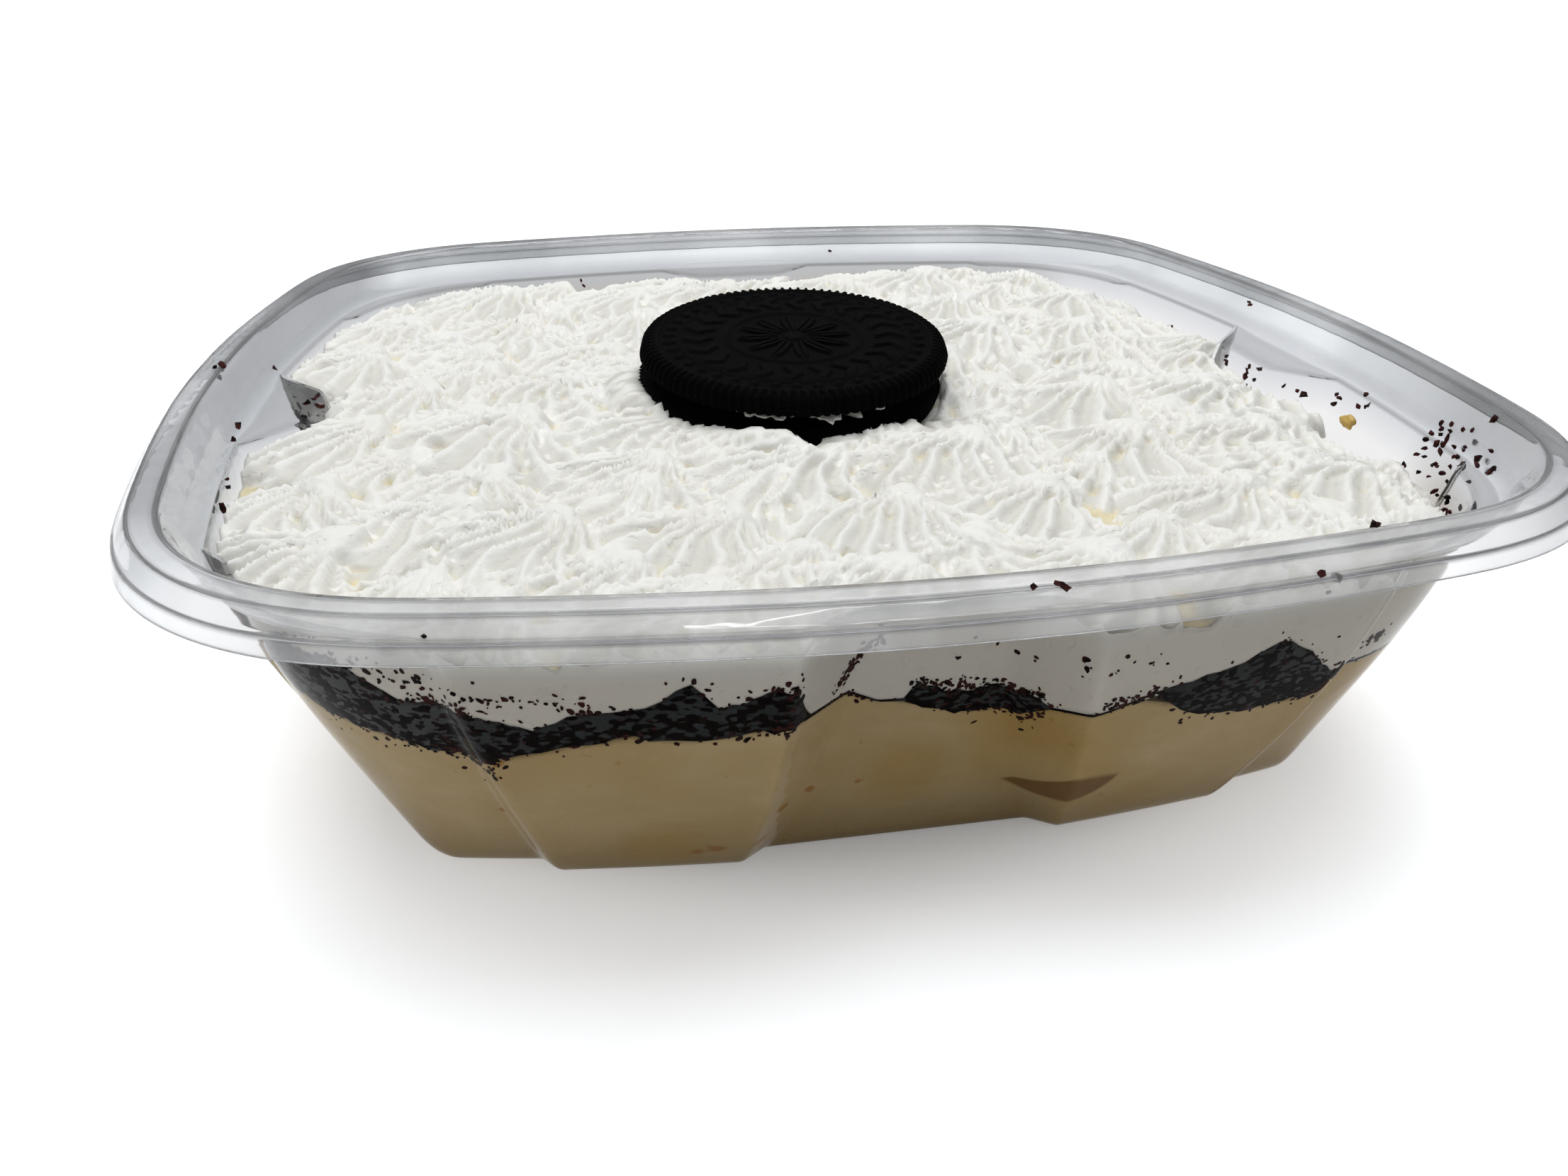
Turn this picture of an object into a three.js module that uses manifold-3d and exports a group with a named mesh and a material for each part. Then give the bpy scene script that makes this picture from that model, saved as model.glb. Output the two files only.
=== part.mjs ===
// Cookies and cream tres leches in a clear square deli tub, in millimetres, +Z up.
// The origin is the middle of the tub's flat base. The front is towards -Y.

import * as THREE from 'three';
import { mergeVertices } from 'three/addons/utils/BufferGeometryUtils.js';
import Module from 'manifold-3d';

const wasm = await Module();
wasm.setup();

// Tub: heights
const shoulderHeight = 39.3;
const rimHeight = 45.8;
const baseRound = 1.3;

// Tub: every side is bowed to this radius in plan
const bowRadius = 270;
const arcSteps = 3;

// Tub: plan sizes at the base and at the shoulder, each with the power of its bulge
const lobeReach = { base: 62.3, top: 78.6, power: 1.6 };
const cornerReach = { base: 60.8, top: 76.8, power: 1.6 };
const cornerRadius = { base: 6, top: 31, power: 3 };
const panelReach = { base: 60, top: 71, power: 1.3 };
const panelHalf = { base: 16.2, top: 7.6, power: 2 };
const recessHalf = { base: 19.4, top: 15, power: 1.5 };
const lobeEnd = { base: 40.3, top: 49.3, power: 1 };
const lobeFlank = 1.5;
const flankRound = 0.18;
const recessRound = 1;

// Tub: the rim, from its top outer edge
const rimReach = 84.5;
const rimRadius = 33.9;
const rimBand = 3.2;
const skirtFlare = 2.1;
const skirtDepth = 4.1;
const skirtStep = 1.9;
const rimFoot = 6.4;
const rimFootRise = 0.35;
const innerStep = { offset: 1.5, drop: 3 };
const wall = 0.8;
const floor = 0.8;

// Gap kept between touching pieces, and the food's inset from the tub's outer wall
const gap = 0.35;
const foodInset = wall + gap;

// Layers: mean heights above the base at the middle of the tub
const cakeHeight = 24.4;
const cakeSlope = -0.035;
const cakeWave = { height: 1.1, lengthX: 8, lengthY: 21 };
const cakeCrossWave = { height: 0.7, lengthX: 30, lengthY: 9 };
const crumbDepth = 5.6;
const crumbWave = { height: 0.8, lengthX: 5.5, lengthY: 7 };
const leastCrumb = 1.2;
const bareCrumb = { x: 8, half: 15, share: 0.9 };
const bedHeight = 36;
const bedRightDrop = { height: 2.4, from: 50, to: 74 };

// Levels are cut by blocks that reach past the tub on every side
const blockHalf = 84;
const blockBottom = -2;
const openTop = 52;

// Piped shells of cream, laid in rows that run from left to right
const rowPitch = 18.3;
const rowStagger = [-2, 1, -5, -2, 4, -7, -3, -4];
const firstRow = -67;
const shellPitch = 20.5;
const shellsInRow = 7;
const firstHead = -77;
const shellLength = 27;
const shellWidth = 23;
const shellHeight = 8.6;
const shellHeading = -10;
const rightTurn = { angle: -22, from: 0, to: 40 };
const shellSink = 2.2;
const shellEdge = 76;
const uneven = { scale: 0.12, place: 2, heading: 10, rise: 0.6 };
const flutes = 4;
const fluteDepth = 0.17;
const ridgeShare = 0.4;
const headLag = 0.05;
const footHalf = 0.2;

// Sandwich biscuit, resting tilted in the cream
const biscuitRadius = 22.5;
const biscuitCentre = new THREE.Vector3(-1.8, -0.2, 45.9);
const biscuitTilt = 0.1;
const waferThickness = 3.1;
const fillingThickness = 2.3;
const fillingRadius = 20.6;
const rimTeeth = 28;
const toothDepth = 0.6;
const faceRelief = 0.45;
const undersideRound = { inset: 0.8, rise: 0.7 };
const shoulderRound = { inset: 1, drop: 0.5 };
const edgeRingWidth = 2.6;
const hollowAbove = 20;
const roundSegments = { filling: 32, hollow: 48 };

const materials = {
  clearPlastic: new THREE.MeshStandardMaterial({
    color: 0xdfe6e8,
    roughness: 0.06,
    metalness: 0,
    transparent: true,
    opacity: 0.3,
  }),
  cake: new THREE.MeshStandardMaterial({ color: 0xd9c48f, roughness: 0.7, metalness: 0 }),
  crumb: new THREE.MeshStandardMaterial({ color: 0x1f1b1c, roughness: 0.85, metalness: 0 }),
  cream: new THREE.MeshStandardMaterial({ color: 0xf6f4ec, roughness: 0.5, metalness: 0 }),
  wafer: new THREE.MeshStandardMaterial({ color: 0x17110f, roughness: 0.75, metalness: 0 }),
  filling: new THREE.MeshStandardMaterial({ color: 0xf0ece2, roughness: 0.5, metalness: 0 }),
};

// A repeatable random number generator, from 0 to 1
function randomSource(seed) {
  let state = seed;
  return () => {
    state = (state * 1664525 + 1013904223) % 4294967296;
    return state / 4294967296;
  };
}

// Solids

function geometryFrom(points, triangles) {
  const geometry = new THREE.BufferGeometry();
  geometry.setAttribute('position', new THREE.Float32BufferAttribute(points, 3));
  geometry.setIndex(triangles);
  return geometry;
}

function solidFrom(geometry) {
  const bare = geometry.clone();
  bare.deleteAttribute('normal');
  bare.deleteAttribute('uv');
  const merged = mergeVertices(bare, 1e-4);
  const vertProperties = new Float32Array(merged.attributes.position.array);
  const triVerts = new Uint32Array(merged.index.array);
  return new wasm.Manifold(new wasm.Mesh({ numProp: 3, vertProperties, triVerts }));
}

function geometryOf(solid) {
  const mesh = solid.getMesh();
  return geometryFrom(Array.from(mesh.vertProperties), Array.from(mesh.triVerts));
}

function largestPart(solid) {
  const parts = solid.decompose();
  return parts.reduce((best, part) => (part.volume() > best.volume() ? part : best));
}

// A skin over rings of equal length. The first and last rings are closed by a fan.
function loftRings(rings) {
  const points = rings.flat(2);
  const count = rings[0].length;
  const triangles = [];
  for (let ring = 0; ring < rings.length - 1; ring++) {
    for (let i = 0; i < count; i++) {
      const next = (i + 1) % count;
      const a = ring * count + i;
      const b = ring * count + next;
      const c = a + count;
      const d = b + count;
      triangles.push(a, b, d, a, d, c);
    }
  }
  for (const [ring, outward] of [[0, false], [rings.length - 1, true]]) {
    const centre = points.length / 3;
    const sum = rings[ring].reduce((total, p) => total.map((v, k) => v + p[k]), [0, 0, 0]);
    points.push(...sum.map((v) => v / count));
    for (let i = 0; i < count; i++) {
      const a = ring * count + i;
      const b = ring * count + (i + 1) % count;
      triangles.push(...(outward ? [a, b, centre] : [b, a, centre]));
    }
  }
  return geometryFrom(points, triangles);
}

// Tub outline

function grow(size, level) {
  return size.base + (size.top - size.base) * (1 - (1 - level) ** size.power);
}

// How far a side bowed to bowRadius stands out at a distance along it
function bowedReach(reach, along) {
  return reach - bowRadius + Math.sqrt(bowRadius ** 2 - along ** 2);
}

// Half of one bowed side as [along, reach]: points at the given places, then round the corner arc
// to the diagonal
function bowedHalfSide(reach, radius, places) {
  const offset = bowRadius - reach;
  const span = bowRadius - radius;
  const centre = (Math.sqrt(2 * span ** 2 - offset ** 2) - offset) / 2;
  const arcStart = Math.atan2(centre, centre + offset);
  const last = places[places.length - 1];
  const first = Math.max(arcStart, Math.asin(Math.max(last - centre, 0) / radius));
  const points = places.map((along) => {
    const onArc = along > centre + radius * Math.sin(arcStart);
    const arcReach = centre + Math.sqrt(radius ** 2 - (along - centre) ** 2);
    return [along, onArc ? arcReach : bowedReach(reach, along)];
  });
  for (let i = 1; i <= arcSteps; i++) {
    const angle = first + (Math.PI / 4 - first) * (i / arcSteps);
    points.push([centre + radius * Math.sin(angle), centre + radius * Math.cos(angle)]);
  }
  return points;
}

// Half of one side of the tub's body at a level from 0, the base, to 1, the shoulder
function bodyHalfSide(level) {
  const lobe = grow(lobeReach, level);
  const panel = grow(panelReach, level);
  const inner = grow(panelHalf, level);
  const outer = grow(recessHalf, level);
  const end = grow(lobeEnd, level);
  const outerReach = bowedReach(lobe, outer);
  const lobePlaces = [outer + recessRound, (outer + end) / 2, end];
  const onFlank = (share) => [inner + (outer - inner) * share, panel + (outerReach - panel) * share];
  return [
    [0, panel],
    [inner - recessRound, panel],
    onFlank(flankRound),
    onFlank(1 - flankRound),
    ...lobePlaces.map((along) => [along, bowedReach(lobe, along)]),
    ...bowedHalfSide(grow(cornerReach, level), grow(cornerRadius, level), [end + lobeFlank]),
  ];
}

// Half of one side of the plain rim outline, with its points beside those of the body's shoulder
function rimHalfSide(reach, radius) {
  const places = bodyHalfSide(1).slice(0, -arcSteps).map(([along]) => along);
  return bowedHalfSide(reach, radius, places);
}

// The whole outline, anticlockwise from the middle of the right side
function wholeOutline(halfSide) {
  const diagonal = halfSide.length - 1;
  const quarter = [
    ...halfSide.map(([along, reach]) => [reach, along]),
    ...halfSide.slice(1, diagonal).reverse(),
  ];
  const outline = [];
  for (let turn = 0; turn < 4; turn++) {
    const cos = [1, 0, -1, 0][turn];
    const sin = [0, 1, 0, -1][turn];
    for (const [x, y] of quarter) {
      outline.push([x * cos - y * sin, x * sin + y * cos]);
    }
  }
  return outline;
}

// Moves every point of an outline inwards, square to its neighbours
function insetOutline(outline, distance) {
  return outline.map(([x, y], i) => {
    const before = outline[(i + outline.length - 1) % outline.length];
    const after = outline[(i + 1) % outline.length];
    const dx = after[0] - before[0];
    const dy = after[1] - before[1];
    const length = Math.hypot(dx, dy);
    return [x - (dy / length) * distance, y + (dx / length) * distance];
  });
}

function ringAt(outline, z) {
  return outline.map(([x, y]) => [x, y, z]);
}

function bodyRing(level, inset, z = level * shoulderHeight) {
  return ringAt(insetOutline(wholeOutline(bodyHalfSide(level)), inset), z);
}

function rimRing(offset, z) {
  return ringAt(wholeOutline(rimHalfSide(rimReach + offset, rimRadius + offset)), z);
}

// Levels where the body wall has a ring, above the rounded foot
const wallLevels = [0.22, 0.56];

function tub() {
  const footLevel = baseRound / shoulderHeight;
  const outside = [
    bodyRing(0, baseRound, 0),
    bodyRing(footLevel, 0),
    ...wallLevels.map((level) => bodyRing(level, 0)),
    bodyRing(1, 0, shoulderHeight - wall),
  ];
  const underRim = [
    rimRing(wall - rimFoot, shoulderHeight - wall / 2),
    rimRing(-rimBand - wall / 2, rimHeight - wall),
    rimRing(-wall, rimHeight - wall),
    rimRing(skirtFlare * 0.5, rimHeight - skirtStep - wall),
    rimRing(skirtFlare - wall, rimHeight - skirtDepth),
  ];
  const overRim = [
    rimRing(skirtFlare, rimHeight - skirtDepth),
    rimRing(skirtFlare * 0.8, rimHeight - skirtStep),
    rimRing(0, rimHeight),
    rimRing(-rimBand, rimHeight),
    rimRing(-rimBand - innerStep.offset, rimHeight - innerStep.drop),
    rimRing(-rimFoot, shoulderHeight + rimFootRise),
  ];
  const inside = [
    bodyRing(1, wall),
    ...[...wallLevels].reverse().map((level) => bodyRing(level, wall)),
    bodyRing((baseRound + floor) / shoulderHeight, wall),
    bodyRing(0, baseRound + wall, floor),
  ];
  return loftRings([...outside, ...underRim, ...overRim, ...inside]);
}

// The space inside the tub that the food may fill, carried straight up past the shoulder
function foodSpace() {
  return solidFrom(
    loftRings([
      bodyRing(0, baseRound + foodInset, floor + gap),
      bodyRing((baseRound + floor) / shoulderHeight, foodInset),
      ...wallLevels.map((level) => bodyRing(level, foodInset)),
      bodyRing(1, foodInset),
      bodyRing(1, foodInset, openTop),
    ]),
  );
}

// Everything below a wavy level, as a block with a gridded top
function below(height, cells) {
  const points = [];
  const triangles = [];
  for (const top of [true, false]) {
    for (let j = 0; j <= cells; j++) {
      for (let i = 0; i <= cells; i++) {
        const x = blockHalf * ((2 * i) / cells - 1);
        const y = blockHalf * ((2 * j) / cells - 1);
        points.push(x, y, top ? height(x, y) : blockBottom);
      }
    }
  }
  const row = cells + 1;
  const layer = row * row;
  for (let j = 0; j < cells; j++) {
    for (let i = 0; i < cells; i++) {
      const a = j * row + i;
      triangles.push(a, a + 1, a + row + 1, a, a + row + 1, a + row);
      const b = a + layer;
      triangles.push(b, b + row + 1, b + 1, b, b + row, b + row + 1);
    }
  }
  const edges = [];
  for (let i = 0; i < cells; i++) {
    edges.push([i, i + 1]);
    edges.push([cells * row + i + 1, cells * row + i]);
    edges.push([(i + 1) * row, i * row]);
    edges.push([i * row + cells, (i + 1) * row + cells]);
  }
  for (const [a, b] of edges) {
    triangles.push(a, b + layer, b, a, a + layer, b + layer);
  }
  return solidFrom(geometryFrom(points, triangles));
}

// Layer heights

// The soaked cake stands higher on the left and sinks under the thick patches of crumb
function cakeTop(x, y) {
  const wave = Math.sin(x / cakeWave.lengthX + y / cakeWave.lengthY);
  const crossWave = Math.cos(y / cakeCrossWave.lengthY - x / cakeCrossWave.lengthX);
  const waves = cakeWave.height * wave + cakeCrossWave.height * crossWave;
  return cakeHeight + cakeSlope * x + waves;
}

// The crumb is thick on the left and on the right, and nearly gone in between
function crumbTop(x, y) {
  const bare = Math.exp(-(((x - bareCrumb.x) / bareCrumb.half) ** 2));
  const wave = Math.sin(x / crumbWave.lengthX + y / crumbWave.lengthY);
  const depth = crumbDepth + crumbWave.height * wave;
  return cakeTop(x, y) + leastCrumb + depth * (1 - bareCrumb.share * bare);
}

function creamBed(x) {
  const right = THREE.MathUtils.smoothstep(x, bedRightDrop.from, bedRightDrop.to);
  return bedHeight - bedRightDrop.height * right;
}

// One piped shell: a fluted dome at the head that runs out to a narrow tail along +X
function shellGeometry(length, width, height) {
  const stations = [
    { at: 0.04, size: 0.62 },
    { at: 0.32, size: 1 },
    { at: 0.76, size: 0.56 },
  ];
  const steps = flutes * 2;
  const rings = stations.map(({ at, size }, index) => {
    const ring = [];
    for (let i = 0; i <= steps; i++) {
      const angle = (Math.PI * i) / steps;
      const swell = 1 + (i % 2 === 0 ? -fluteDepth : fluteDepth * ridgeShare);
      const lag = Math.sin(angle) * length * headLag * index;
      const y = Math.cos(angle) * (width / 2) * size * swell;
      const z = Math.sin(angle) * height * size * swell;
      ring.push([at * length + lag, y, z]);
    }
    ring.push([at * length, -width * footHalf * size, -shellSink]);
    ring.push([at * length, width * footHalf * size, -shellSink]);
    return ring;
  });
  return loftRings(rings);
}

// Where each shell's head lies, and how large, turned and raised the shell is. Every row starts
// at the left. A shell that would cross the right wall or lie under the biscuit is left out.
function shellPlaces() {
  const random = randomSource(11);
  const around = (spread) => (random() * 2 - 1) * spread;
  const places = [];
  rowStagger.forEach((stagger, row) => {
    for (let i = 0; i < shellsInRow; i++) {
      const scale = 1 + around(uneven.scale);
      const x = firstHead + stagger + shellPitch * i + around(uneven.place);
      const y = firstRow + rowPitch * row + around(uneven.place);
      const right = THREE.MathUtils.smoothstep(x, rightTurn.from, rightTurn.to);
      const heading = shellHeading + rightTurn.angle * right + around(uneven.heading);
      const rise = around(uneven.rise);
      const turn = THREE.MathUtils.degToRad(heading);
      const reach = shellLength * Math.cos(turn);
      const fromBiscuit = Math.hypot(x + reach / 2 - biscuitCentre.x, y - biscuitCentre.y);
      const covered = fromBiscuit < biscuitRadius - shellWidth / 2;
      if (x + reach <= shellEdge && !covered) {
        places.push({ x, y, scale, turn, rise });
      }
    }
  });
  return places;
}

function pipedShells() {
  const shells = shellPlaces().map(({ x, y, scale, turn, rise }) => {
    const geometry = shellGeometry(shellLength * scale, shellWidth * scale, shellHeight * scale);
    geometry.rotateZ(turn);
    geometry.translate(x, y, creamBed(x) - shellSink + rise);
    return solidFrom(geometry);
  });
  return wasm.Manifold.union(shells);
}

// Sandwich biscuit

function placeOnBiscuit(geometry) {
  geometry.rotateX(biscuitTilt);
  geometry.translate(biscuitCentre.x, biscuitCentre.y, biscuitCentre.z);
  return geometry;
}

// A wafer with a toothed rim, its inner face down. The outer face has a raised edge ring.
function wafer() {
  const count = rimTeeth * 2;
  const circle = (radius, z, tooth = 0) => {
    const ring = [];
    for (let i = 0; i < count; i++) {
      const angle = (2 * Math.PI * i) / count;
      const reach = radius - (i % 2) * tooth;
      ring.push([reach * Math.cos(angle), reach * Math.sin(angle), z]);
    }
    return ring;
  };
  const rings = [
    circle(biscuitRadius - undersideRound.inset, -waferThickness),
    circle(biscuitRadius, -waferThickness + undersideRound.rise, toothDepth),
    circle(biscuitRadius, -shoulderRound.drop, toothDepth),
    circle(biscuitRadius - shoulderRound.inset, 0),
    circle(biscuitRadius - edgeRingWidth, -faceRelief),
  ];
  return loftRings(rings);
}

function disc(radius, thickness, segments) {
  const geometry = new THREE.CylinderGeometry(radius, radius, thickness, segments);
  geometry.rotateX(Math.PI / 2);
  geometry.translate(0, 0, -thickness / 2);
  return geometry;
}

const fillingTop = -waferThickness - gap;
const lowerWaferTop = fillingTop - fillingThickness - gap;
const biscuitDepth = -lowerWaferTop + waferThickness;

function upperWafer() {
  return placeOnBiscuit(wafer());
}

function biscuitFilling() {
  const geometry = disc(fillingRadius, fillingThickness, roundSegments.filling);
  geometry.translate(0, 0, fillingTop);
  return placeOnBiscuit(geometry);
}

function lowerWafer() {
  const geometry = wafer();
  geometry.rotateX(Math.PI);
  geometry.translate(0, 0, -biscuitDepth);
  return placeOnBiscuit(geometry);
}

// The hollow that the biscuit has pressed into the cream
function biscuitHollow() {
  const depth = biscuitDepth + gap + hollowAbove;
  const geometry = disc(biscuitRadius + gap, depth, roundSegments.hollow);
  geometry.translate(0, 0, hollowAbove);
  return solidFrom(placeOnBiscuit(geometry));
}

// Assembly

const layerCells = 10;
const bedCells = 5;
const space = foodSpace();
const cakeBlock = below(cakeTop, layerCells);
const cakeAndGap = below((x, y) => cakeTop(x, y) + gap, layerCells);
const crumbBlock = below(crumbTop, layerCells);
const crumbAndGap = below((x, y) => crumbTop(x, y) + gap, layerCells);
const bedBlock = below(creamBed, bedCells);

const cakeSolid = space.intersect(cakeBlock);
const crumbSolid = space.intersect(crumbBlock).subtract(cakeAndGap);
const creamSolid = bedBlock
  .add(pipedShells())
  .intersect(space)
  .subtract(crumbAndGap)
  .subtract(biscuitHollow());

const group = new THREE.Group();

function addPiece(name, geometry, material) {
  const mesh = new THREE.Mesh(geometry, material);
  mesh.name = name;
  group.add(mesh);
}

addPiece('tub', tub(), materials.clearPlastic);
addPiece('sponge_cake', geometryOf(cakeSolid), materials.cake);
addPiece('crumb_layer', geometryOf(crumbSolid), materials.crumb);
addPiece('whipped_cream', geometryOf(largestPart(creamSolid)), materials.cream);
addPiece('biscuit_upper_wafer', upperWafer(), materials.wafer);
addPiece('biscuit_filling', biscuitFilling(), materials.filling);
addPiece('biscuit_lower_wafer', lowerWafer(), materials.wafer);

export default group;
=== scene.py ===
"""Cookies and cream tres leches in a clear square deli tub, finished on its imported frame."""

import math
import random
from contextlib import contextmanager

import bpy
import numpy as np
from mathutils import Matrix, Vector, noise


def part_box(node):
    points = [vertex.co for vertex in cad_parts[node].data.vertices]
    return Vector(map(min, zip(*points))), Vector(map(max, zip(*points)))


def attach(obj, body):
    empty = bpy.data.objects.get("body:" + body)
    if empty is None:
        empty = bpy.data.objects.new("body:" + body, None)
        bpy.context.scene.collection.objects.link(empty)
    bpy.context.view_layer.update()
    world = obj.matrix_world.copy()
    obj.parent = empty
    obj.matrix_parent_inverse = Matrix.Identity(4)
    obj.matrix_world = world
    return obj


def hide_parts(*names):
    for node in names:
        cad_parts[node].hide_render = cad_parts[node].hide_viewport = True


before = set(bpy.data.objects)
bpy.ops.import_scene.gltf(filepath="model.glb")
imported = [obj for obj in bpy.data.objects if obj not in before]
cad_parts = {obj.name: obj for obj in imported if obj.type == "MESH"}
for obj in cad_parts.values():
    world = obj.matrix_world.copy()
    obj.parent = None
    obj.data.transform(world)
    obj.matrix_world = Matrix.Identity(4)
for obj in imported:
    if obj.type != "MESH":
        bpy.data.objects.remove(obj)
bpy.ops.object.select_all(action="DESELECT")
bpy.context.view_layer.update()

MM = 0.001

# Camera, fitted to the outlines of the rim, the base and the biscuit
FRAME_WIDTH = 2212
FOCAL_PIXELS = 1706.4
SENSOR_WIDTH = 36.0
CAMERA_PLACE = Vector((-33.42, -173.16, 93.28)) * MM
CAMERA_YAW = -0.1718
CAMERA_PITCH = 0.4698
CAMERA_ROLL = -0.0035

# Tub: its height and width come from the frame
TUB_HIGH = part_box("tub")[1]
SHEET = 0.6 * MM
FLOOR = 0.62 * MM
BASE_ROUND = 0.3 * MM
SHOULDER = 39.3 * MM
RIM_HEIGHT = TUB_HIGH.z
SKIRT_FLARE = 2.1 * MM
SKIRT_DEPTH = 4.1 * MM
RIM_BAND = 3.2 * MM
RIM_FOOT = 6.4 * MM
RIM_REACH = TUB_HIGH.x - SKIRT_FLARE
RIM_RADIUS = 33.9 * MM
BOW_RADIUS = 270 * MM
TUB_ROWS = 92
TUB_COLUMNS = 480

# Rim in mm: distance in from its flat band, or out from its outline, and depth under its top
RIM_INSIDE = ((1.6, 3.1), (1.3, 2.7), (0.3, 0.7), (0, 0.1))
RIM_OUTSIDE = (
    (-2.85, 0), (-0.5, 0), (-0.1, 0.05), (0.15, 0.3), (1.05, 1.6), (1.2, 1.85), (1.6, 2.05),
    (1.72, 2.3),
)

# Shares of the shoulder's height at which the wall's outline is drawn
WALL_LEVELS = (0.045, 0.11, 0.24, 0.4, 0.58, 0.76, 0.9)

# Tub: plan sizes at the base and at the shoulder, in mm, each with the power of its bulge
LOBE_REACH = (62.9, 78.6, 1.6)
CORNER_REACH = (60.8, 76.8, 1.6)
CORNER_RADIUS = (6, 31, 3)
PANEL_REACH = (60, 71, 1.3)
PANEL_HALF = (16.2, 7.6, 2)
RECESS_HALF = (19.4, 15, 1.5)
LOBE_END = (40.3, 49.3, 1)
LOBE_FLANK = 1.5 * MM
CREASE = 0.8 * MM
ARC_STEPS = 4

# How far the food reaches into the sheet, so that no air shows between them
FOOD_INSET = SHEET - 0.15 * MM
CRUMB_INSET = SHEET - 0.25 * MM

# Biscuit: its radius comes from the frame, and its place and tilt are those of the solids
WAFER_LOW, WAFER_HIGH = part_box("biscuit_upper_wafer")
BISCUIT_RADIUS = (WAFER_HIGH.x - WAFER_LOW.x) / 2
BISCUIT_CENTRE = Vector((-1.8, -0.2, 45.9)) * MM
BISCUIT_TILT = 0.1
WAFER_THICKNESS = 3.4 * MM
FILLING_THICKNESS = 2.4 * MM
BISCUIT_DEPTH = 2 * WAFER_THICKNESS + FILLING_THICKNESS


def smoothstep(value, low, high):
    share = np.clip((np.asarray(value, float) - low) / (high - low), 0, 1)
    return share * share * (3 - 2 * share)


def noise_at(points, size, seed=0):
    """Smooth noise from -1 to 1 at each point, with lumps of that size."""
    shift = Vector((seed * 7.31, seed * 3.17, seed * 5.93))
    return np.array([noise.noise(Vector(p) / size + shift) for p in points])


def roughness_at(points, *layers):
    """Noise in layers, each of a size, a seed and a height."""
    return sum(noise_at(points, size, seed) * height for size, seed, height in layers)


def flat_points(x, y):
    return np.column_stack([x, y, np.zeros(len(x))])


def polar_points(radius, angle, height):
    return np.column_stack([radius * np.cos(angle), radius * np.sin(angle), height])


# Outlines of the tub


def grow(size, level):
    """A plan size in metres at a level from 0, the base, to 1, the shoulder."""
    base, top, power = size
    return (base + (top - base) * (1 - (1 - level) ** power)) * MM


def bowed_reach(reach, along):
    """How far a side bowed to BOW_RADIUS stands out at a distance along it."""
    return reach - BOW_RADIUS + math.sqrt(BOW_RADIUS**2 - along**2)


def bowed_half_side(reach, radius, places):
    """Half of a bowed side: points at the given places, then round the corner to the diagonal."""
    offset = BOW_RADIUS - reach
    span = BOW_RADIUS - radius
    centre = (math.sqrt(2 * span**2 - offset**2) - offset) / 2
    arc_start = math.atan2(centre, centre + offset)
    first = max(arc_start, math.asin(max(places[-1] - centre, 0) / radius))
    points = []
    for along in places:
        if along > centre + radius * math.sin(arc_start):
            points.append((along, centre + math.sqrt(radius**2 - (along - centre) ** 2)))
        else:
            points.append((along, bowed_reach(reach, along)))
    for step in range(1, ARC_STEPS + 1):
        angle = first + (math.pi / 4 - first) * step / ARC_STEPS
        points.append((centre + radius * math.sin(angle), centre + radius * math.cos(angle)))
    return points


def body_half_side(level):
    """Half of one side of the tub's body at a level."""
    lobe = grow(LOBE_REACH, level)
    panel = grow(PANEL_REACH, level)
    inner = grow(PANEL_HALF, level)
    outer = grow(RECESS_HALF, level)
    end = grow(LOBE_END, level)
    foot = end + LOBE_FLANK
    edge = bowed_reach(lobe, outer)
    slope = CREASE / math.hypot(outer - inner, edge - panel)

    def on_flank(share):
        return (inner + (outer - inner) * share, panel + (edge - panel) * share)

    lobe_places = [
        outer, outer + CREASE, outer + 3 * CREASE, (outer + end) / 2,
        end - 3 * CREASE, end - CREASE, end,
    ]
    corner_places = [foot, foot + CREASE, foot + 3 * CREASE]
    return [
        (0, panel),
        (inner - 3 * CREASE, panel),
        (inner - CREASE, panel),
        *[on_flank(share) for share in (0, slope, 0.5, 1 - slope)],
        *[(along, bowed_reach(lobe, along)) for along in lobe_places],
        *bowed_half_side(grow(CORNER_REACH, level), grow(CORNER_RADIUS, level), corner_places),
    ]


def rim_half_side(offset):
    """Half of one side of the plain rim outline, with its points beside the shoulder's."""
    places = [along for along, _ in body_half_side(1)[:-ARC_STEPS]]
    return bowed_half_side(RIM_REACH + offset, RIM_RADIUS + offset, places)


def whole_outline(half_side):
    """The whole outline, anticlockwise from the middle of the right side."""
    quarter = [(reach, along) for along, reach in half_side]
    quarter += half_side[-2:0:-1]
    outline = []
    for cos, sin in ((1, 0), (0, 1), (-1, 0), (0, -1)):
        outline += [(x * cos - y * sin, x * sin + y * cos) for x, y in quarter]
    return np.array(outline)


def inset_outline(outline, distance):
    step = np.roll(outline, -1, axis=0) - np.roll(outline, 1, axis=0)
    step /= np.linalg.norm(step, axis=1, keepdims=True)
    return outline + np.stack([-step[:, 1], step[:, 0]], axis=1) * distance


def ring_at(outline, height):
    return np.column_stack([outline, np.full(len(outline), height)])


def body_ring(level, inset, height=None):
    outline = inset_outline(whole_outline(body_half_side(level)), inset)
    return ring_at(outline, level * SHOULDER if height is None else height)


def rim_ring(offset, height):
    return ring_at(whole_outline(rim_half_side(offset)), height)


def spline_weights(t):
    """How much each of four neighbours counts on a cubic spline."""
    return [
        (1 - t) ** 3 / 6,
        (3 * t**3 - 6 * t**2 + 4) / 6,
        (-3 * t**3 + 3 * t**2 + 3 * t + 1) / 6,
        t**3 / 6,
    ]


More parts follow.
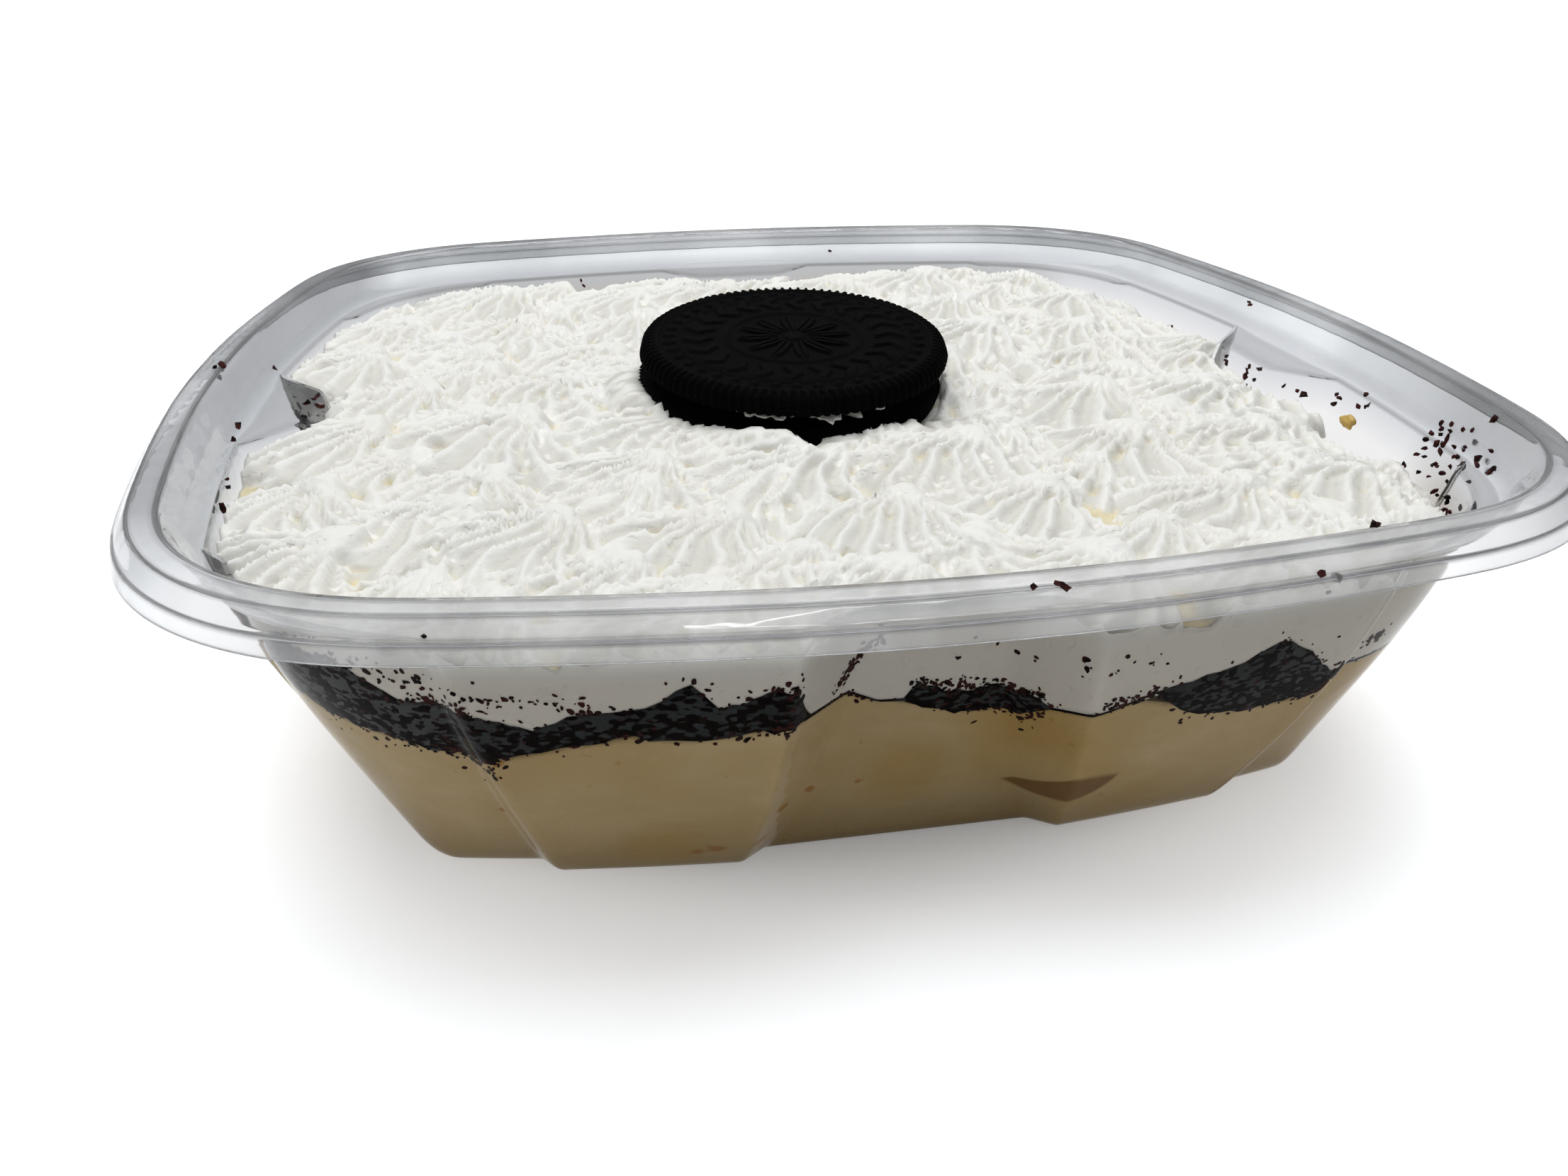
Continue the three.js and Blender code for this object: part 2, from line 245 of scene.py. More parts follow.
class Skin:
    """A smooth surface over a cage of rings, as a cubic spline along and round the rings."""

    def __init__(self, rings):
        self.cage = np.array([rings[0], rings[0], *rings, rings[-1], rings[-1]])
        self.spans = len(rings) + 1
        self.shares = np.linspace(0, 1, 2000)
        self.heights = self.at(np.zeros_like(self.shares), self.shares)[:, 2]

    def at(self, around, across):
        """Points at shares from 0 to 1 of the way round, and from the first ring to the last."""
        columns = self.cage.shape[1]
        u = np.asarray(around, float) % 1 * columns
        v = np.clip(np.asarray(across, float), 0, 1) * self.spans
        first = np.minimum(v.astype(int), self.spans - 1)
        column = u.astype(int)
        row_weights = spline_weights(v - first)
        column_weights = spline_weights(u - column)
        total = 0
        for i in range(4):
            for k in range(4):
                corner = self.cage[first + i, (column + k - 1) % columns]
                total = total + corner * (row_weights[i] * column_weights[k])[..., None]
        return total

    def at_height(self, around, height):
        return self.at(around, np.interp(height, self.heights, self.shares))


def wall_rings(inset):
    """The inner face of the tub, from the rounded foot to the top of the rim's inner wall."""
    top = body_ring(1, inset, SHOULDER - 0.5 * MM)
    foot_of_rim = rim_ring(-RIM_FOOT, SHOULDER + 0.35 * MM)
    return [
        body_ring(0, BASE_ROUND + inset, FLOOR),
        body_ring(0, 0.35 * BASE_ROUND + inset, FLOOR + 0.2 * MM),
        *[body_ring(level, inset) for level in WALL_LEVELS],
        top,
        top * (0.88, 0.88, 1) + foot_of_rim * (0.12, 0.12, 0) + (0, 0, 0.55 * MM),
        top * (0.25, 0.25, 0.5) + foot_of_rim * (0.75, 0.75, 0.5) + (0, 0, 0.25 * MM),
        rim_ring(-RIM_FOOT + 0.3 * MM, SHOULDER + 0.9 * MM),
        rim_ring(-RIM_FOOT + 1.2 * MM, SHOULDER + 2.5 * MM),
        *[rim_ring(-RIM_BAND - back * MM, RIM_HEIGHT - deep * MM) for back, deep in RIM_INSIDE],
    ]


def sheet_rings():
    """The whole upper face of the sheet: floor, wall, rim and skirt."""
    foot = body_ring(0, BASE_ROUND + SHEET, FLOOR)
    return [
        *[foot * (share, share, 1) for share in (0.001, 0.4, 0.8, 0.99)],
        *wall_rings(SHEET),
        *[rim_ring(out * MM, RIM_HEIGHT - deep * MM) for out, deep in RIM_OUTSIDE],
        rim_ring(SKIRT_FLARE, RIM_HEIGHT - SKIRT_DEPTH),
    ]


sheet = Skin(sheet_rings())
food_wall = Skin(wall_rings(FOOD_INSET))
crumb_wall = Skin(wall_rings(CRUMB_INSET))


# Modelling helpers


def deselect():
    bpy.ops.object.select_all(action="DESELECT")


def only(obj):
    deselect()
    obj.select_set(True)
    bpy.context.view_layer.objects.active = obj


@contextmanager
def editing(obj):
    """Edit mode on one object, with its whole mesh selected."""
    only(obj)
    bpy.ops.object.mode_set(mode="EDIT")
    bpy.ops.mesh.select_all(action="SELECT")
    yield
    bpy.ops.object.mode_set(mode="OBJECT")


def add_primitive(operator, name, **settings):
    deselect()
    operator(**settings)
    obj = bpy.context.object
    obj.name = obj.data.name = name
    return obj


def set_places(obj, points):
    obj.data.vertices.foreach_set("co", np.asarray(points, np.float32).ravel())
    obj.data.update()


def read(items, key, width=3, kind=np.float32):
    values = np.empty(len(items) * width, kind)
    items.foreach_get(key, values)
    return values.reshape(-1, width)


def get_places(obj):
    return read(obj.data.vertices, "co").astype(float)


def wrapped_grid(name, rows, columns, place):
    """A grid primitive laid over a closed or open shape. Its seam and poles are merged."""
    grid = bpy.ops.mesh.primitive_grid_add
    obj = add_primitive(grid, name, x_subdivisions=rows, y_subdivisions=columns, size=1)
    flat = get_places(obj)
    set_places(obj, place(flat[:, 0] + 0.5, flat[:, 1] + 0.5))
    with editing(obj):
        bpy.ops.mesh.remove_doubles(threshold=1e-6)
        bpy.ops.mesh.normals_make_consistent(inside=False)
    bpy.ops.object.shade_smooth()
    return obj


def apply_modifiers(obj):
    only(obj)
    for modifier in list(obj.modifiers):
        bpy.ops.object.modifier_apply(modifier=modifier.name)


def add_attribute(obj, name, values):
    attribute = obj.data.attributes.new(name, "FLOAT", "POINT")
    attribute.data.foreach_set("value", np.asarray(values, np.float32))


def curvature(obj):
    """How sharply the surface bends at each vertex, in turns of the normal per millimetre."""
    points = get_places(obj) / MM
    normals = read(obj.data.vertices, "normal")
    first, second = read(obj.data.edges, "vertices", 2, np.int32).T
    length = np.linalg.norm(points[first] - points[second], axis=1)
    turn = np.linalg.norm(normals[first] - normals[second], axis=1) / np.maximum(length, 0.05)
    sharpest = np.zeros(len(points))
    np.maximum.at(sharpest, first, turn)
    np.maximum.at(sharpest, second, turn)
    return sharpest


def dress(obj, material, slot, *nodes):
    obj.data.materials.clear()
    obj.data.materials.append(material)
    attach(obj, "root")
    if nodes:
        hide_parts(*nodes)


# Materials


class Link:
    """One output of a node. Sums on it are written as plain expressions."""

    def __init__(self, finish, socket):
        self.finish = finish
        self.socket = socket

    def math(self, operation, first, second):
        return self.finish.node("ShaderNodeMath", {"operation": operation}, {0: first, 1: second})

    def __add__(self, other):
        return self.math("ADD", self, other)

    def __sub__(self, other):
        return self.math("SUBTRACT", self, other)

    def __rsub__(self, other):
        return self.math("SUBTRACT", other, self)

    def __mul__(self, other):
        return self.math("MULTIPLY", self, other)

    __radd__ = __add__
    __rmul__ = __mul__


class Finish:
    """A material and the nodes in it."""

    def __init__(self, name):
        self.material = bpy.data.materials.new(name)
        self.material.use_nodes = True
        self.tree = self.material.node_tree
        self.tree.nodes.clear()
        self.place = self.node("ShaderNodeTexCoord", output="Object")

    def node(self, kind, settings=None, inputs=None, output=0):
        """A node with its settings, which are set first, and its sockets' values or links."""
        made = self.tree.nodes.new(kind)
        for key, value in (settings or {}).items():
            if key == "stops":
                self.set_stops(made.color_ramp, value)
            else:
                setattr(made, key, value)
        for key, value in (inputs or {}).items():
            if isinstance(value, Link):
                self.tree.links.new(value.socket, made.inputs[key])
            elif made.inputs[key].type == "RGBA":
                made.inputs[key].default_value = (*value, 1)
            else:
                made.inputs[key].default_value = value
        return Link(self, made.outputs[output])

    def set_stops(self, ramp, stops):
        while len(ramp.elements) < len(stops):
            ramp.elements.new(1)
        for element, (position, value) in zip(ramp.elements, stops):
            element.position = position
            element.color = value if isinstance(value, tuple) else (value, value, value, 1)

    def stretched(self, scale):
        return self.node("ShaderNodeMapping", inputs={"Vector": self.place, "Scale": scale})

    def speckle(self, size, detail=3.0, roughness=0.5, vector=None):
        """Noise with lumps of about that size in metres."""
        inputs = {"Vector": vector or self.place, "Scale": 1 / size}
        inputs |= {"Detail": detail, "Roughness": roughness}
        return self.node("ShaderNodeTexNoise", inputs=inputs)

    def cells(self, size, vector=None, output="Distance"):
        inputs = {"Vector": vector or self.place, "Scale": 1 / size}
        return self.node("ShaderNodeTexVoronoi", inputs=inputs, output=output)

    def distance(self, vector, point):
        settings = {"operation": "DISTANCE"}
        return self.node("ShaderNodeVectorMath", settings, {0: vector, 1: point}, "Value")

    def part(self, axis):
        return self.node("ShaderNodeSeparateXYZ", inputs={"Vector": self.place}, output=axis)

    def ramp(self, value, *stops):
        return self.node("ShaderNodeValToRGB", {"stops": stops}, {"Fac": value})

    def rise(self, value, low, high):
        """0 below the first value and 1 above the second."""
        return self.ramp(value, (low, 0.0), (high, 1.0))

    def fall(self, value, low, high):
        return self.ramp(value, (low, 1.0), (high, 0.0))

    def attribute(self, name):
        return self.node("ShaderNodeAttribute", {"attribute_name": name}, output="Fac")

    def blend(self, factor, first, second):
        inputs = {0: factor, 6: first, 7: second}
        return self.node("ShaderNodeMix", {"data_type": "RGBA"}, inputs, output=2)

    def coats(self, tone, *coats):
        """A tone with others laid over it in turn, each as far as its mask reaches."""
        for mask, coat in coats:
            tone = self.blend(mask, tone, coat)
        return tone

    def bump(self, height, strength, distance):
        inputs = {"Height": height, "Strength": strength, "Distance": distance}
        return self.node("ShaderNodeBump", inputs=inputs)

    def principled(self, **inputs):
        named = {key.replace("_", " "): value for key, value in inputs.items()}
        return self.node("ShaderNodeBsdfPrincipled", inputs=named)

    def mix(self, factor, first, second):
        return self.node("ShaderNodeMixShader", inputs={0: factor, 1: first, 2: second})

    def finish(self, shader):
        out = self.tree.nodes.new("ShaderNodeOutputMaterial")
        self.tree.links.new(shader.socket, out.inputs["Surface"])
        return self.material

    def surface(self, **inputs):
        return self.finish(self.principled(**inputs))


def clear_plastic():
    """Clear sheet tinted with painted shade and light: dark over the food, grey above it and on the
    rim, clearer in front, with dark lines where it bends and a whitish rim layer, partly milkiness,
    partly a painted reflection.
    """
    f = Finish("clear_plastic")
    height = f.part("Z") * 20
    upper = f.rise(height, 0.68, 0.80)
    rim = f.rise(height, 0.79, 0.84)
    front = f.rise(f.part("Y") * -10, 0.66, 0.82)
    right = f.rise(f.part("X") * 10, 0.45, 0.75)
    cloud = f.rise(f.speckle(26 * MM, detail=2), 0.35, 0.65)
    scuffs = f.rise(f.speckle(1.2 * MM, detail=5), 0.55, 0.8)
    columns = f.rise(f.speckle(7 * MM, vector=f.stretched((1, 1, 0.15))), 0.40, 0.62)
    bump = f.bump(f.speckle(11 * MM, detail=2), 0.25, 1 * MM)
    roughness = 0.02 + cloud * 0.02 + scuffs * 0.05

    def glass(tone, ior):
        return f.principled(
            Base_Color=tone, Roughness=roughness, IOR=ior, Transmission_Weight=1.0, Normal=bump
        )

    # Near clear on the upper front, so that the cream seen through it reads bright: painted light.
    front_top = front * f.rise(height, 0.71, 0.75)
    # A thin dark ring along the shoulder crease: a painted shade line.
    shoulder = f.ramp(height, (0.774, 0.0), (0.778, 1.0), (0.785, 1.0), (0.789, 0.0))
    # Lighter over the recessed left and right walls: painted light over the shade seen through
    # them.
    recess = f.rise(f.part("X") * f.part("X") * 100, 0.36, 0.44)
    recess = recess * f.rise(f.part("Y") * 5 + 0.5, 0.26, 0.32)
    # Above the food a grey tint, lighter on the right: painted shade.
    above_food = f.coats(
        (0.37, 0.38, 0.39),
        (right, (0.48, 0.485, 0.50)),
        (front_top, (0.98, 0.97, 0.96)),
        (shoulder * 0.7, (0.12, 0.12, 0.125)),
    )
    # Over the food a dark brownish-grey tint, which darkens the cake and cream seen through it:
    # painted shade.
    over_food = f.blend(recess, (0.345, 0.322, 0.29), (0.62, 0.61, 0.60))
    wall = glass(f.blend(upper, over_food, above_food), 1.07)

    # On the rim a grey tint with random clouds: painted shade, darker at the right corner and on
    # the left, lifted towards clear in front as painted light, and dark lines where the sheet bends
    # sharply, also painted shade.
    right_corner = right * f.rise(f.part("Y") * -10, 0.10, 0.45)
    left = f.ramp(f.part("X") * -10, (0.66, 0.0), (0.72, 1.0), (0.81, 1.0), (0.825, 0.0))
    left = left * f.rise(f.part("Y") * 5 + 0.5, 0.16, 0.24)
    facing = f.blend(columns, (0.84, 0.84, 0.83), (1.0, 0.995, 0.99))
    formed = f.coats(
        (0.56, 0.57, 0.58),
        (cloud, (0.74, 0.75, 0.76)),
        (right_corner, (0.36, 0.365, 0.37)),
        (left, (0.34, 0.345, 0.355)),
        (front, f.blend(right_corner, facing, (0.40, 0.405, 0.41))),
        (f.attribute("bend") * (0.55 + front * 0.35), (0.10, 0.10, 0.11)),
    )
    # A whitish matt layer mixed over the sheet, most on the rim: partly the plastic's own
    # milkiness, partly a painted reflection of the bright room, stronger in streaks on the front
    # rim as a painted highlight.
    bloom_and_sheen = f.principled(
        Base_Color=f.blend(cloud, (0.80, 0.81, 0.82), (0.90, 0.905, 0.91)),
        Roughness=0.3,
        Normal=bump,
    )
    haze_and_sheen = upper * 0.03 + rim * (0.05 + cloud * 0.06) + rim * front * (0.03 + columns * 0.08)
    sheet = f.mix(haze_and_sheen, f.mix(rim, wall, glass(formed, 1.42)), bloom_and_sheen)
    light = f.node("ShaderNodeBsdfTransparent", inputs={"Color": (0.91, 0.92, 0.925)})
    return f.finish(f.mix(f.node("ShaderNodeLightPath", output="Is Shadow Ray"), sheet, light))


# On the front of the cake: distance across, height and reach in mm
YELLOW_PATCHES = ((-0.5, 12.5, 8), (13, 19.5, 6), (-28, 6, 7))
ORANGE_FLECKS = (
    (-44.6, 23.7, 1.0), (-15.2, 10.8, 1.2), (-17.4, 4.8, 1.4), (-22.5, 5.3, 2.2),
    (-45.3, 13.3, 0.9), (-11.6, 11.1, 1.0), (-24.5, 4.6, 1.2),
)

# The darker crescent, painted shade of a small hollow, lies inside the first circle and outside the
# second, both on the front
POCKET_CENTRE = (16.4 * MM, 0, 13.9 * MM)
POCKET_HOLLOW = (11.6 * MM, 0, 16.3 * MM)


def sponge():
    f = Finish("soaked_sponge")
    cloud = f.rise(f.speckle(18 * MM), 0.35, 0.68)
    streak = f.rise(f.speckle(5 * MM, detail=4, vector=f.stretched((1, 1, 2.6))), 0.35, 0.75)
    # Darker towards the bottom of the cake.
    darker_low = f.fall(f.part("Z") * 50 + streak * 0.15, 0.05, 0.62)
    yellow = f.rise(f.speckle(24 * MM, detail=2), 0.55, 0.72)
    base = f.coats(
        (0.66, 0.50, 0.255),
        (cloud, (0.80, 0.65, 0.395)),
        (streak * 0.45, (0.68, 0.50, 0.225)),
        (yellow * 0.6, (0.66, 0.43, 0.12)),
        (darker_low * 0.7, (0.50, 0.355, 0.155)),
    )
    front = f.stretched((1, 0, 1))

    def spot(x, z, reach, wobble):
        """Distance from a place on the front, 1 at its reach, with an uneven edge."""
        return f.distance(front, (x * MM, 0, z * MM)) * (1 / (reach * MM)) + streak * wobble

    for patch in YELLOW_PATCHES:
        mask = f.ramp(spot(*patch, 0.3), (0.5, 0.55), (1.0, 0.0))
        base = f.blend(mask, base, (0.62, 0.40, 0.11))
    flecks = f.rise(f.speckle(2.6 * MM, detail=2), 0.72, 0.79)
    for fleck in ORANGE_FLECKS:
        flecks = flecks + f.fall(spot(*fleck, 0.8), 0.7, 1.0)
    # The crescent low on the right lobe is painted shade.
    return f.surface(
        Base_Color=f.coats(
            base,
            (flecks * 0.8, (0.52, 0.24, 0.05)),
            (crescent_shade(f, front), (0.30, 0.165, 0.05)),
        ),
        Roughness=0.42 + f.speckle(3 * MM) * 0.3,
        Specular_IOR_Level=0.2,
        Normal=f.bump(f.cells(1.1 * MM) + f.speckle(0.5 * MM), 0.25, 0.4 * MM),
    )


def crescent_shade(f, front):
    """A smile-shaped crescent of darker brown low on the front of the right lobe: the painted shade
    of a small hollow there.
    """
    inside = f.fall(f.distance(front, POCKET_CENTRE) * 100, 0.66, 0.71)
    outside = f.rise(f.distance(front, POCKET_HOLLOW) * 100, 0.70, 0.73)
    low = f.fall(f.part("Z") * 50, 0.60, 0.65)
    return inside * outside * low * f.rise(f.part("Y") * -10, 0.55, 0.56)


def packed_crumb():
    f = Finish("packed_crumb")
    chips = f.cells(0.65 * MM, output="Color", vector=f.stretched((0.8, 0.8, 1.3)))
    patch = f.fall(chips + f.attribute("low") * 0.32, 0.60, 0.61)
    # The smooth paste against the wall is slate grey: partly its own colour, partly a painted sheen
    # of the wall's reflection, greyest at the left end, grey at the right end and darkest between,
    # unevenly.
    region = f.ramp(f.part("X") * 5 + 0.5, (0.22, 1.0), (0.30, 0.3), (0.62, 0.3), (0.72, 0.75))
    region = region * f.ramp(f.speckle(7 * MM, detail=2), (0.3, 0.4), (0.6, 1.0))
    paste_and_sheen = f.blend(region, (0.022, 0.027, 0.031), (0.120, 0.130, 0.140))
    dark = f.blend(f.speckle(0.6 * MM), (0.0008, 0.0006, 0.0006), (0.006, 0.003, 0.003))
    return f.surface(
        Base_Color=f.blend(patch, dark, paste_and_sheen),
        Roughness=0.9 - patch * 0.1,
        Specular_IOR_Level=0.02,
        Normal=f.bump(f.cells(0.9 * MM) + f.speckle(0.4 * MM), 0.6, 0.4 * MM),
    )


def whipped_cream():
    f = Finish("whipped_cream")
    warm = f.rise(f.speckle(13 * MM, detail=2), 0.4, 0.75)
    # Painted shade: grey in the flutes' grooves, and yellowish grey in hollows and on the bare bed
    # between the fans.
    base = f.coats(
        (0.92, 0.917, 0.88),
        (warm * 0.6, (0.91, 0.895, 0.825)),
        (f.attribute("groove") * 0.85, (0.66, 0.65, 0.585)),
        (f.attribute("crevice") * (0.5 + warm * 0.5), (0.80, 0.69, 0.38)),
    )
    froth = f.speckle(0.7 * MM, detail=4, roughness=0.65)
    holes = f.fall(f.speckle(1.6 * MM, detail=2), 0.64, 0.70)
    return f.surface(
        Base_Color=base,
        Roughness=0.5,
        Subsurface_Weight=0.08,
        Subsurface_Radius=(1.0, 0.85, 0.6),
        Subsurface_Scale=1.0 * MM,
        Normal=f.bump(froth * 0.7 + holes * 0.8, 0.4, 0.3 * MM),
    )


def baked_wafer():
    f = Finish("baked_wafer")
    grain = f.speckle(0.45 * MM, detail=4, roughness=0.7)
    tone = f.blend(f.speckle(4 * MM), (0.0012, 0.0010, 0.0011), (0.0040, 0.0032, 0.0032))
    return f.surface(
        Base_Color=tone,
        Roughness=0.6 + grain * 0.3,
        Specular_IOR_Level=0.03,
        Normal=f.bump(grain, 0.8, 0.3 * MM),
    )


def grainy(name, size, dark, light, relief, roughness):
    """A matt finish whose tone follows its grain."""
    f = Finish(name)
    grain = f.speckle(size)
    bump = f.bump(grain, relief, 0.3 * MM)
    return f.surface(Base_Color=f.blend(grain, dark, light), Roughness=roughness, Normal=bump)


def sugar_filling():
    tones = (0.78, 0.76, 0.70), (0.88, 0.87, 0.83)
    return grainy("sugar_filling", 0.7 * MM, *tones, relief=0.4, roughness=0.6)


def loose_crumb():
    f = Finish("loose_crumb")
    grain = f.speckle(0.35 * MM, detail=3)
    red = f.rise(f.speckle(1.5 * MM), 0.4, 0.65)
    tone = f.blend(red, (0.004, 0.002, 0.002), (0.075, 0.018, 0.016))
    return f.surface(
        Base_Color=tone,
        Roughness=0.75,
        Specular_IOR_Level=0.1,
        Normal=f.bump(grain, 0.6, 0.2 * MM),
    )


def amber_cake():
    tones = (0.55, 0.33, 0.06), (0.72, 0.50, 0.15)
    return grainy("amber_cake", 0.8 * MM, *tones, relief=0.5, roughness=0.45)


def pale_floor():
    """White paper that emits light, as painted light: faint near the tub and stronger away from it,
    so the floor round the tub reads darker, a painted shadow over the real one.
    """
    f = Finish("pale_floor")
    away = f.distance(f.stretched((1, 1, 0)), (0, 0, 0))
    painted_glow = f.ramp(
        away, (0.06, 0.16), (0.072, 0.40), (0.088, 0.55), (0.11, 0.63), (0.3, 0.57), (1.0, 0.85)
    )
    return f.surface(
        Base_Color=f.blend(f.speckle(60 * MM), (0.83, 0.85, 0.88), (0.85, 0.87, 0.90)),
        Roughness=0.85,
        Specular_IOR_Level=0.2,
        Emission_Color=painted_glow,
        Emission_Strength=1.0,
        Normal=f.bump(f.speckle(1.5 * MM), 0.1, 0.2 * MM),
    )


# Tub


def make_tub():
    tub = wrapped_grid("clear_tub", TUB_ROWS, TUB_COLUMNS, lambda v, u: sheet.at(u, v))
    if tub.data.polygons[0].normal.z < 0:
        with editing(tub):
            bpy.ops.mesh.flip_normals()
    thick = tub.modifiers.new("sheet", "SOLIDIFY")
    thick.thickness = SHEET
    thick.offset = -1
    thick.use_even_offset = False
    apply_modifiers(tub)
    # Where the sheet bends sharply its colour is darkened to painted shade lines.
    add_attribute(tub, "bend", smoothstep(curvature(tub), 0.9, 2.4))
    dress(tub, clear_plastic(), "clear_plastic", "tub")
    return tub


# Layers

# Heights along the front wall: distance across, height, in mm. No crumb lies where they meet.
FRONT_CAKE = (
    (-62, 26), (-56, 25.3), (-48, 23.7), (-43, 24.6), (-36, 26.5), (-32, 27.5), (-27, 26.2),
    (-17, 27.5), (-13, 26.9), (-8, 26.2), (-5, 24.6), (-2, 24.3), (4, 21.7), (11, 21.7),
    (13, 23.7), (18, 25), (23, 26.9), (27, 23), (34, 21.4), (43, 21.7), (49, 24), (62, 23),
)
FRONT_CRUMB = (
    (-62, 34.5), (-58, 34.4), (-53, 30.4), (-50, 31.2), (-44, 29.9), (-41, 28.4), (-37, 30.4),
    (-29, 31), (-26, 34.3), (-25, 33.7), (-23, 30.4), (-20, 31.6), (-17.5, 33), (-15.2, 32),
    (-14, 27.3), (-8, 26.2), (-5, 24.6), (-2, 24.5), (-1, 26.9), (2, 24.9), (11, 24.8),
    (13, 23.8), (18, 25), (23, 26.9), (28, 28.1), (32, 28.6), (35, 31.2), (37, 31.6), (42, 28),
    (45, 25.3), (49, 24.1), (62, 23.1),
)

# These heights hold from FRONT_FULL on and fade out behind it
FRONT_START = 52 * MM
FRONT_FULL = 62 * MM

# Behind the front the heights wave gently, and the crumb thins out round a bare stretch, in mm
CAKE_HEIGHT = 24.4
CAKE_SLOPE = -0.035
CRUMB_DEPTH = 5.6
CRUMB_CEILING = 32.4
RIGHT_CEILING = 28.4
BARE_CENTRE = 8
BARE_REACH = 15


def front_share(y):
    return smoothstep(-np.asarray(y), FRONT_START, FRONT_FULL)


def cake_top(x, y):
    across, deep = np.asarray(x) / MM, np.asarray(y) / MM
    waves = 1.1 * np.sin(across / 8 + deep / 21) + 0.7 * np.cos(deep / 9 - across / 30)
    general = CAKE_HEIGHT + CAKE_SLOPE * across + waves
    front = np.interp(across, *zip(*FRONT_CAKE))
    return (general + (front - general) * front_share(y)) * MM


def crumb_top(x, y):
    across, deep = np.asarray(x) / MM, np.asarray(y) / MM
    bare = np.exp(-(((across - BARE_CENTRE) / BARE_REACH) ** 2))
    depth = (CRUMB_DEPTH + 0.8 * np.sin(across / 5.5 + deep / 7)) * (1 - 0.9 * bare)
    general = cake_top(x, np.maximum(y, -FRONT_START)) / MM + 1.2 + depth
    ceiling = CRUMB_CEILING + (RIGHT_CEILING - CRUMB_CEILING) * smoothstep(across, 40, 70)
    general = np.minimum(general, ceiling)
    front = np.interp(across, *zip(*FRONT_CRUMB))
    return (general + (front - general) * front_share(y)) * MM


def layered_body(name, wall, bottom, top, side_rows, flat_rows=14, columns=352):
    """A closed body that fills the tub between two wavy heights."""
    rows = 2 * flat_rows + side_rows
    low_end = flat_rows / rows
    high_end = (flat_rows + side_rows) / rows

    def place(v, u):
        def edge(form, height):
            """The points of the wall at which a wavy height meets it, and their heights."""
            height = np.full(len(u), height)
            for _ in range(4):
                points = wall.at_height(u, height)
                height = form(points[:, 0], points[:, 1])
            return points, height

        edge_low, height_low = edge(bottom, 20 * MM)
        edge_high, height_high = edge(top, 30 * MM)
        side = np.clip((v - low_end) / (high_end - low_end), 0, 1)
        height = height_low + (height_high - height_low) * side
        points = wall.at_height(u, height)
        points[:, 2] = height
        for inside, share, rim, form in (
            (v < low_end, v / low_end, edge_low, bottom),
            (v > high_end, (1 - v) / (1 - high_end), edge_high, top),
        ):
            points[inside, :2] = (rim[:, :2] * share[:, None])[inside]
            points[inside, 2] = form(points[inside, 0], points[inside, 1])
        return points

    return wrapped_grid(name, rows, columns, place)


def make_cake():
    def bottom(x, y):
        return np.full(np.shape(x), FLOOR - 0.4 * MM)

    cake = layered_body("milk_soaked_cake", food_wall, bottom, cake_top, side_rows=30)
    dress(cake, sponge(), "cake", "sponge_cake")


def make_crumb_layer():
    def ragged(x, y, seed):
        layers = (2.6, seed, 0.6), (1.1, seed + 1, 0.55)
        return roughness_at(flat_points(x, y) / MM, *layers) * MM

    def thick(x, y):
        return smoothstep(crumb_top(x, y) - cake_top(x, y), 0.3 * MM, 2.5 * MM)

    def bottom(x, y):
        return cake_top(x, y) - 0.2 * MM + ragged(x, y, 31) * thick(x, y)

    def top(x, y):
        edge = crumb_top(x, y) + ragged(x, y, 41) * thick(x, y)
        return np.maximum(edge, bottom(x, y) + 0.05 * MM)

    layer = layered_body("crumb_band", crumb_wall, bottom, top, 9, flat_rows=5, columns=1408)
    x, y, z = get_places(layer).T
    share = (z - cake_top(x, y)) / np.maximum(crumb_top(x, y) - cake_top(x, y), 0.5 * MM)
    add_attribute(layer, "low", 1 - np.clip(share, 0, 1))
    dress(layer, packed_crumb(), "dark_crumb", "crumb_layer")


# Piped cream: sizes in mm and degrees

ROW_PITCH = 18.3
FIRST_ROW = -67
SHELL_PITCH = 20.5
SHELLS_IN_ROW = 7
FIRST_HEAD = -77
ROW_STAGGER = (-2, 1, -5, -2, 4, -7, -3, -4)
SHELL_LENGTH = 27
SHELL_HEIGHT = 3.4
SHELL_LIFT = 0.5
SHELL_EDGE = 76

# Each shell is a fluted fan: it opens from its tail, towards the front and the left
TAIL_OFFSET = (19, 4)
FAN_HEADING = 220
FAN_SPREAD = 72
FAN_LENGTH = 22
FAN_ROUND = 0.3
FLUTES = 10
FLUTE_DEPTH = 1.5

# Slightly smaller and lower fans fill the gaps, half a pitch further on
FILL_DROP = 0.7
FILL_SCALE = 0.9

# Side view of a fan: shares of its length from the tail, and of its height
LANE_LENGTH = (0, 0.15, 0.3, 0.5, 0.68, 0.82, 0.92, 0.98, 1.02)
LANE_HEIGHT = (0.85, 1.0, 1.0, 0.93, 0.85, 0.72, 0.56, 0.3, 0)

# The bed under the fans is lower along the right wall, and the whole top slopes down there, most
# at the front. A flute value above 1 marks the bare bed.
BED_HEIGHT = 36
BED_DIP = 5
RIGHT_SLOPE = 3.2
LOWEST_TOP = 30.4
BARE_BED = 1.5

# Top of the cream in front of the biscuit: distance across and height
COLLAR = (
    (-30, 37), (-21.6, 38.4), (-16.2, 38.7), (-14, 39.2), (-11.6, 39.8), (-6.7, 39.7),
    (-5.3, 38.3), (-3.3, 36.9), (-2, 37.8), (4.1, 38.3), (5.9, 38.8), (11.4, 38.3), (13.2, 37.3),
    (19, 36),
)
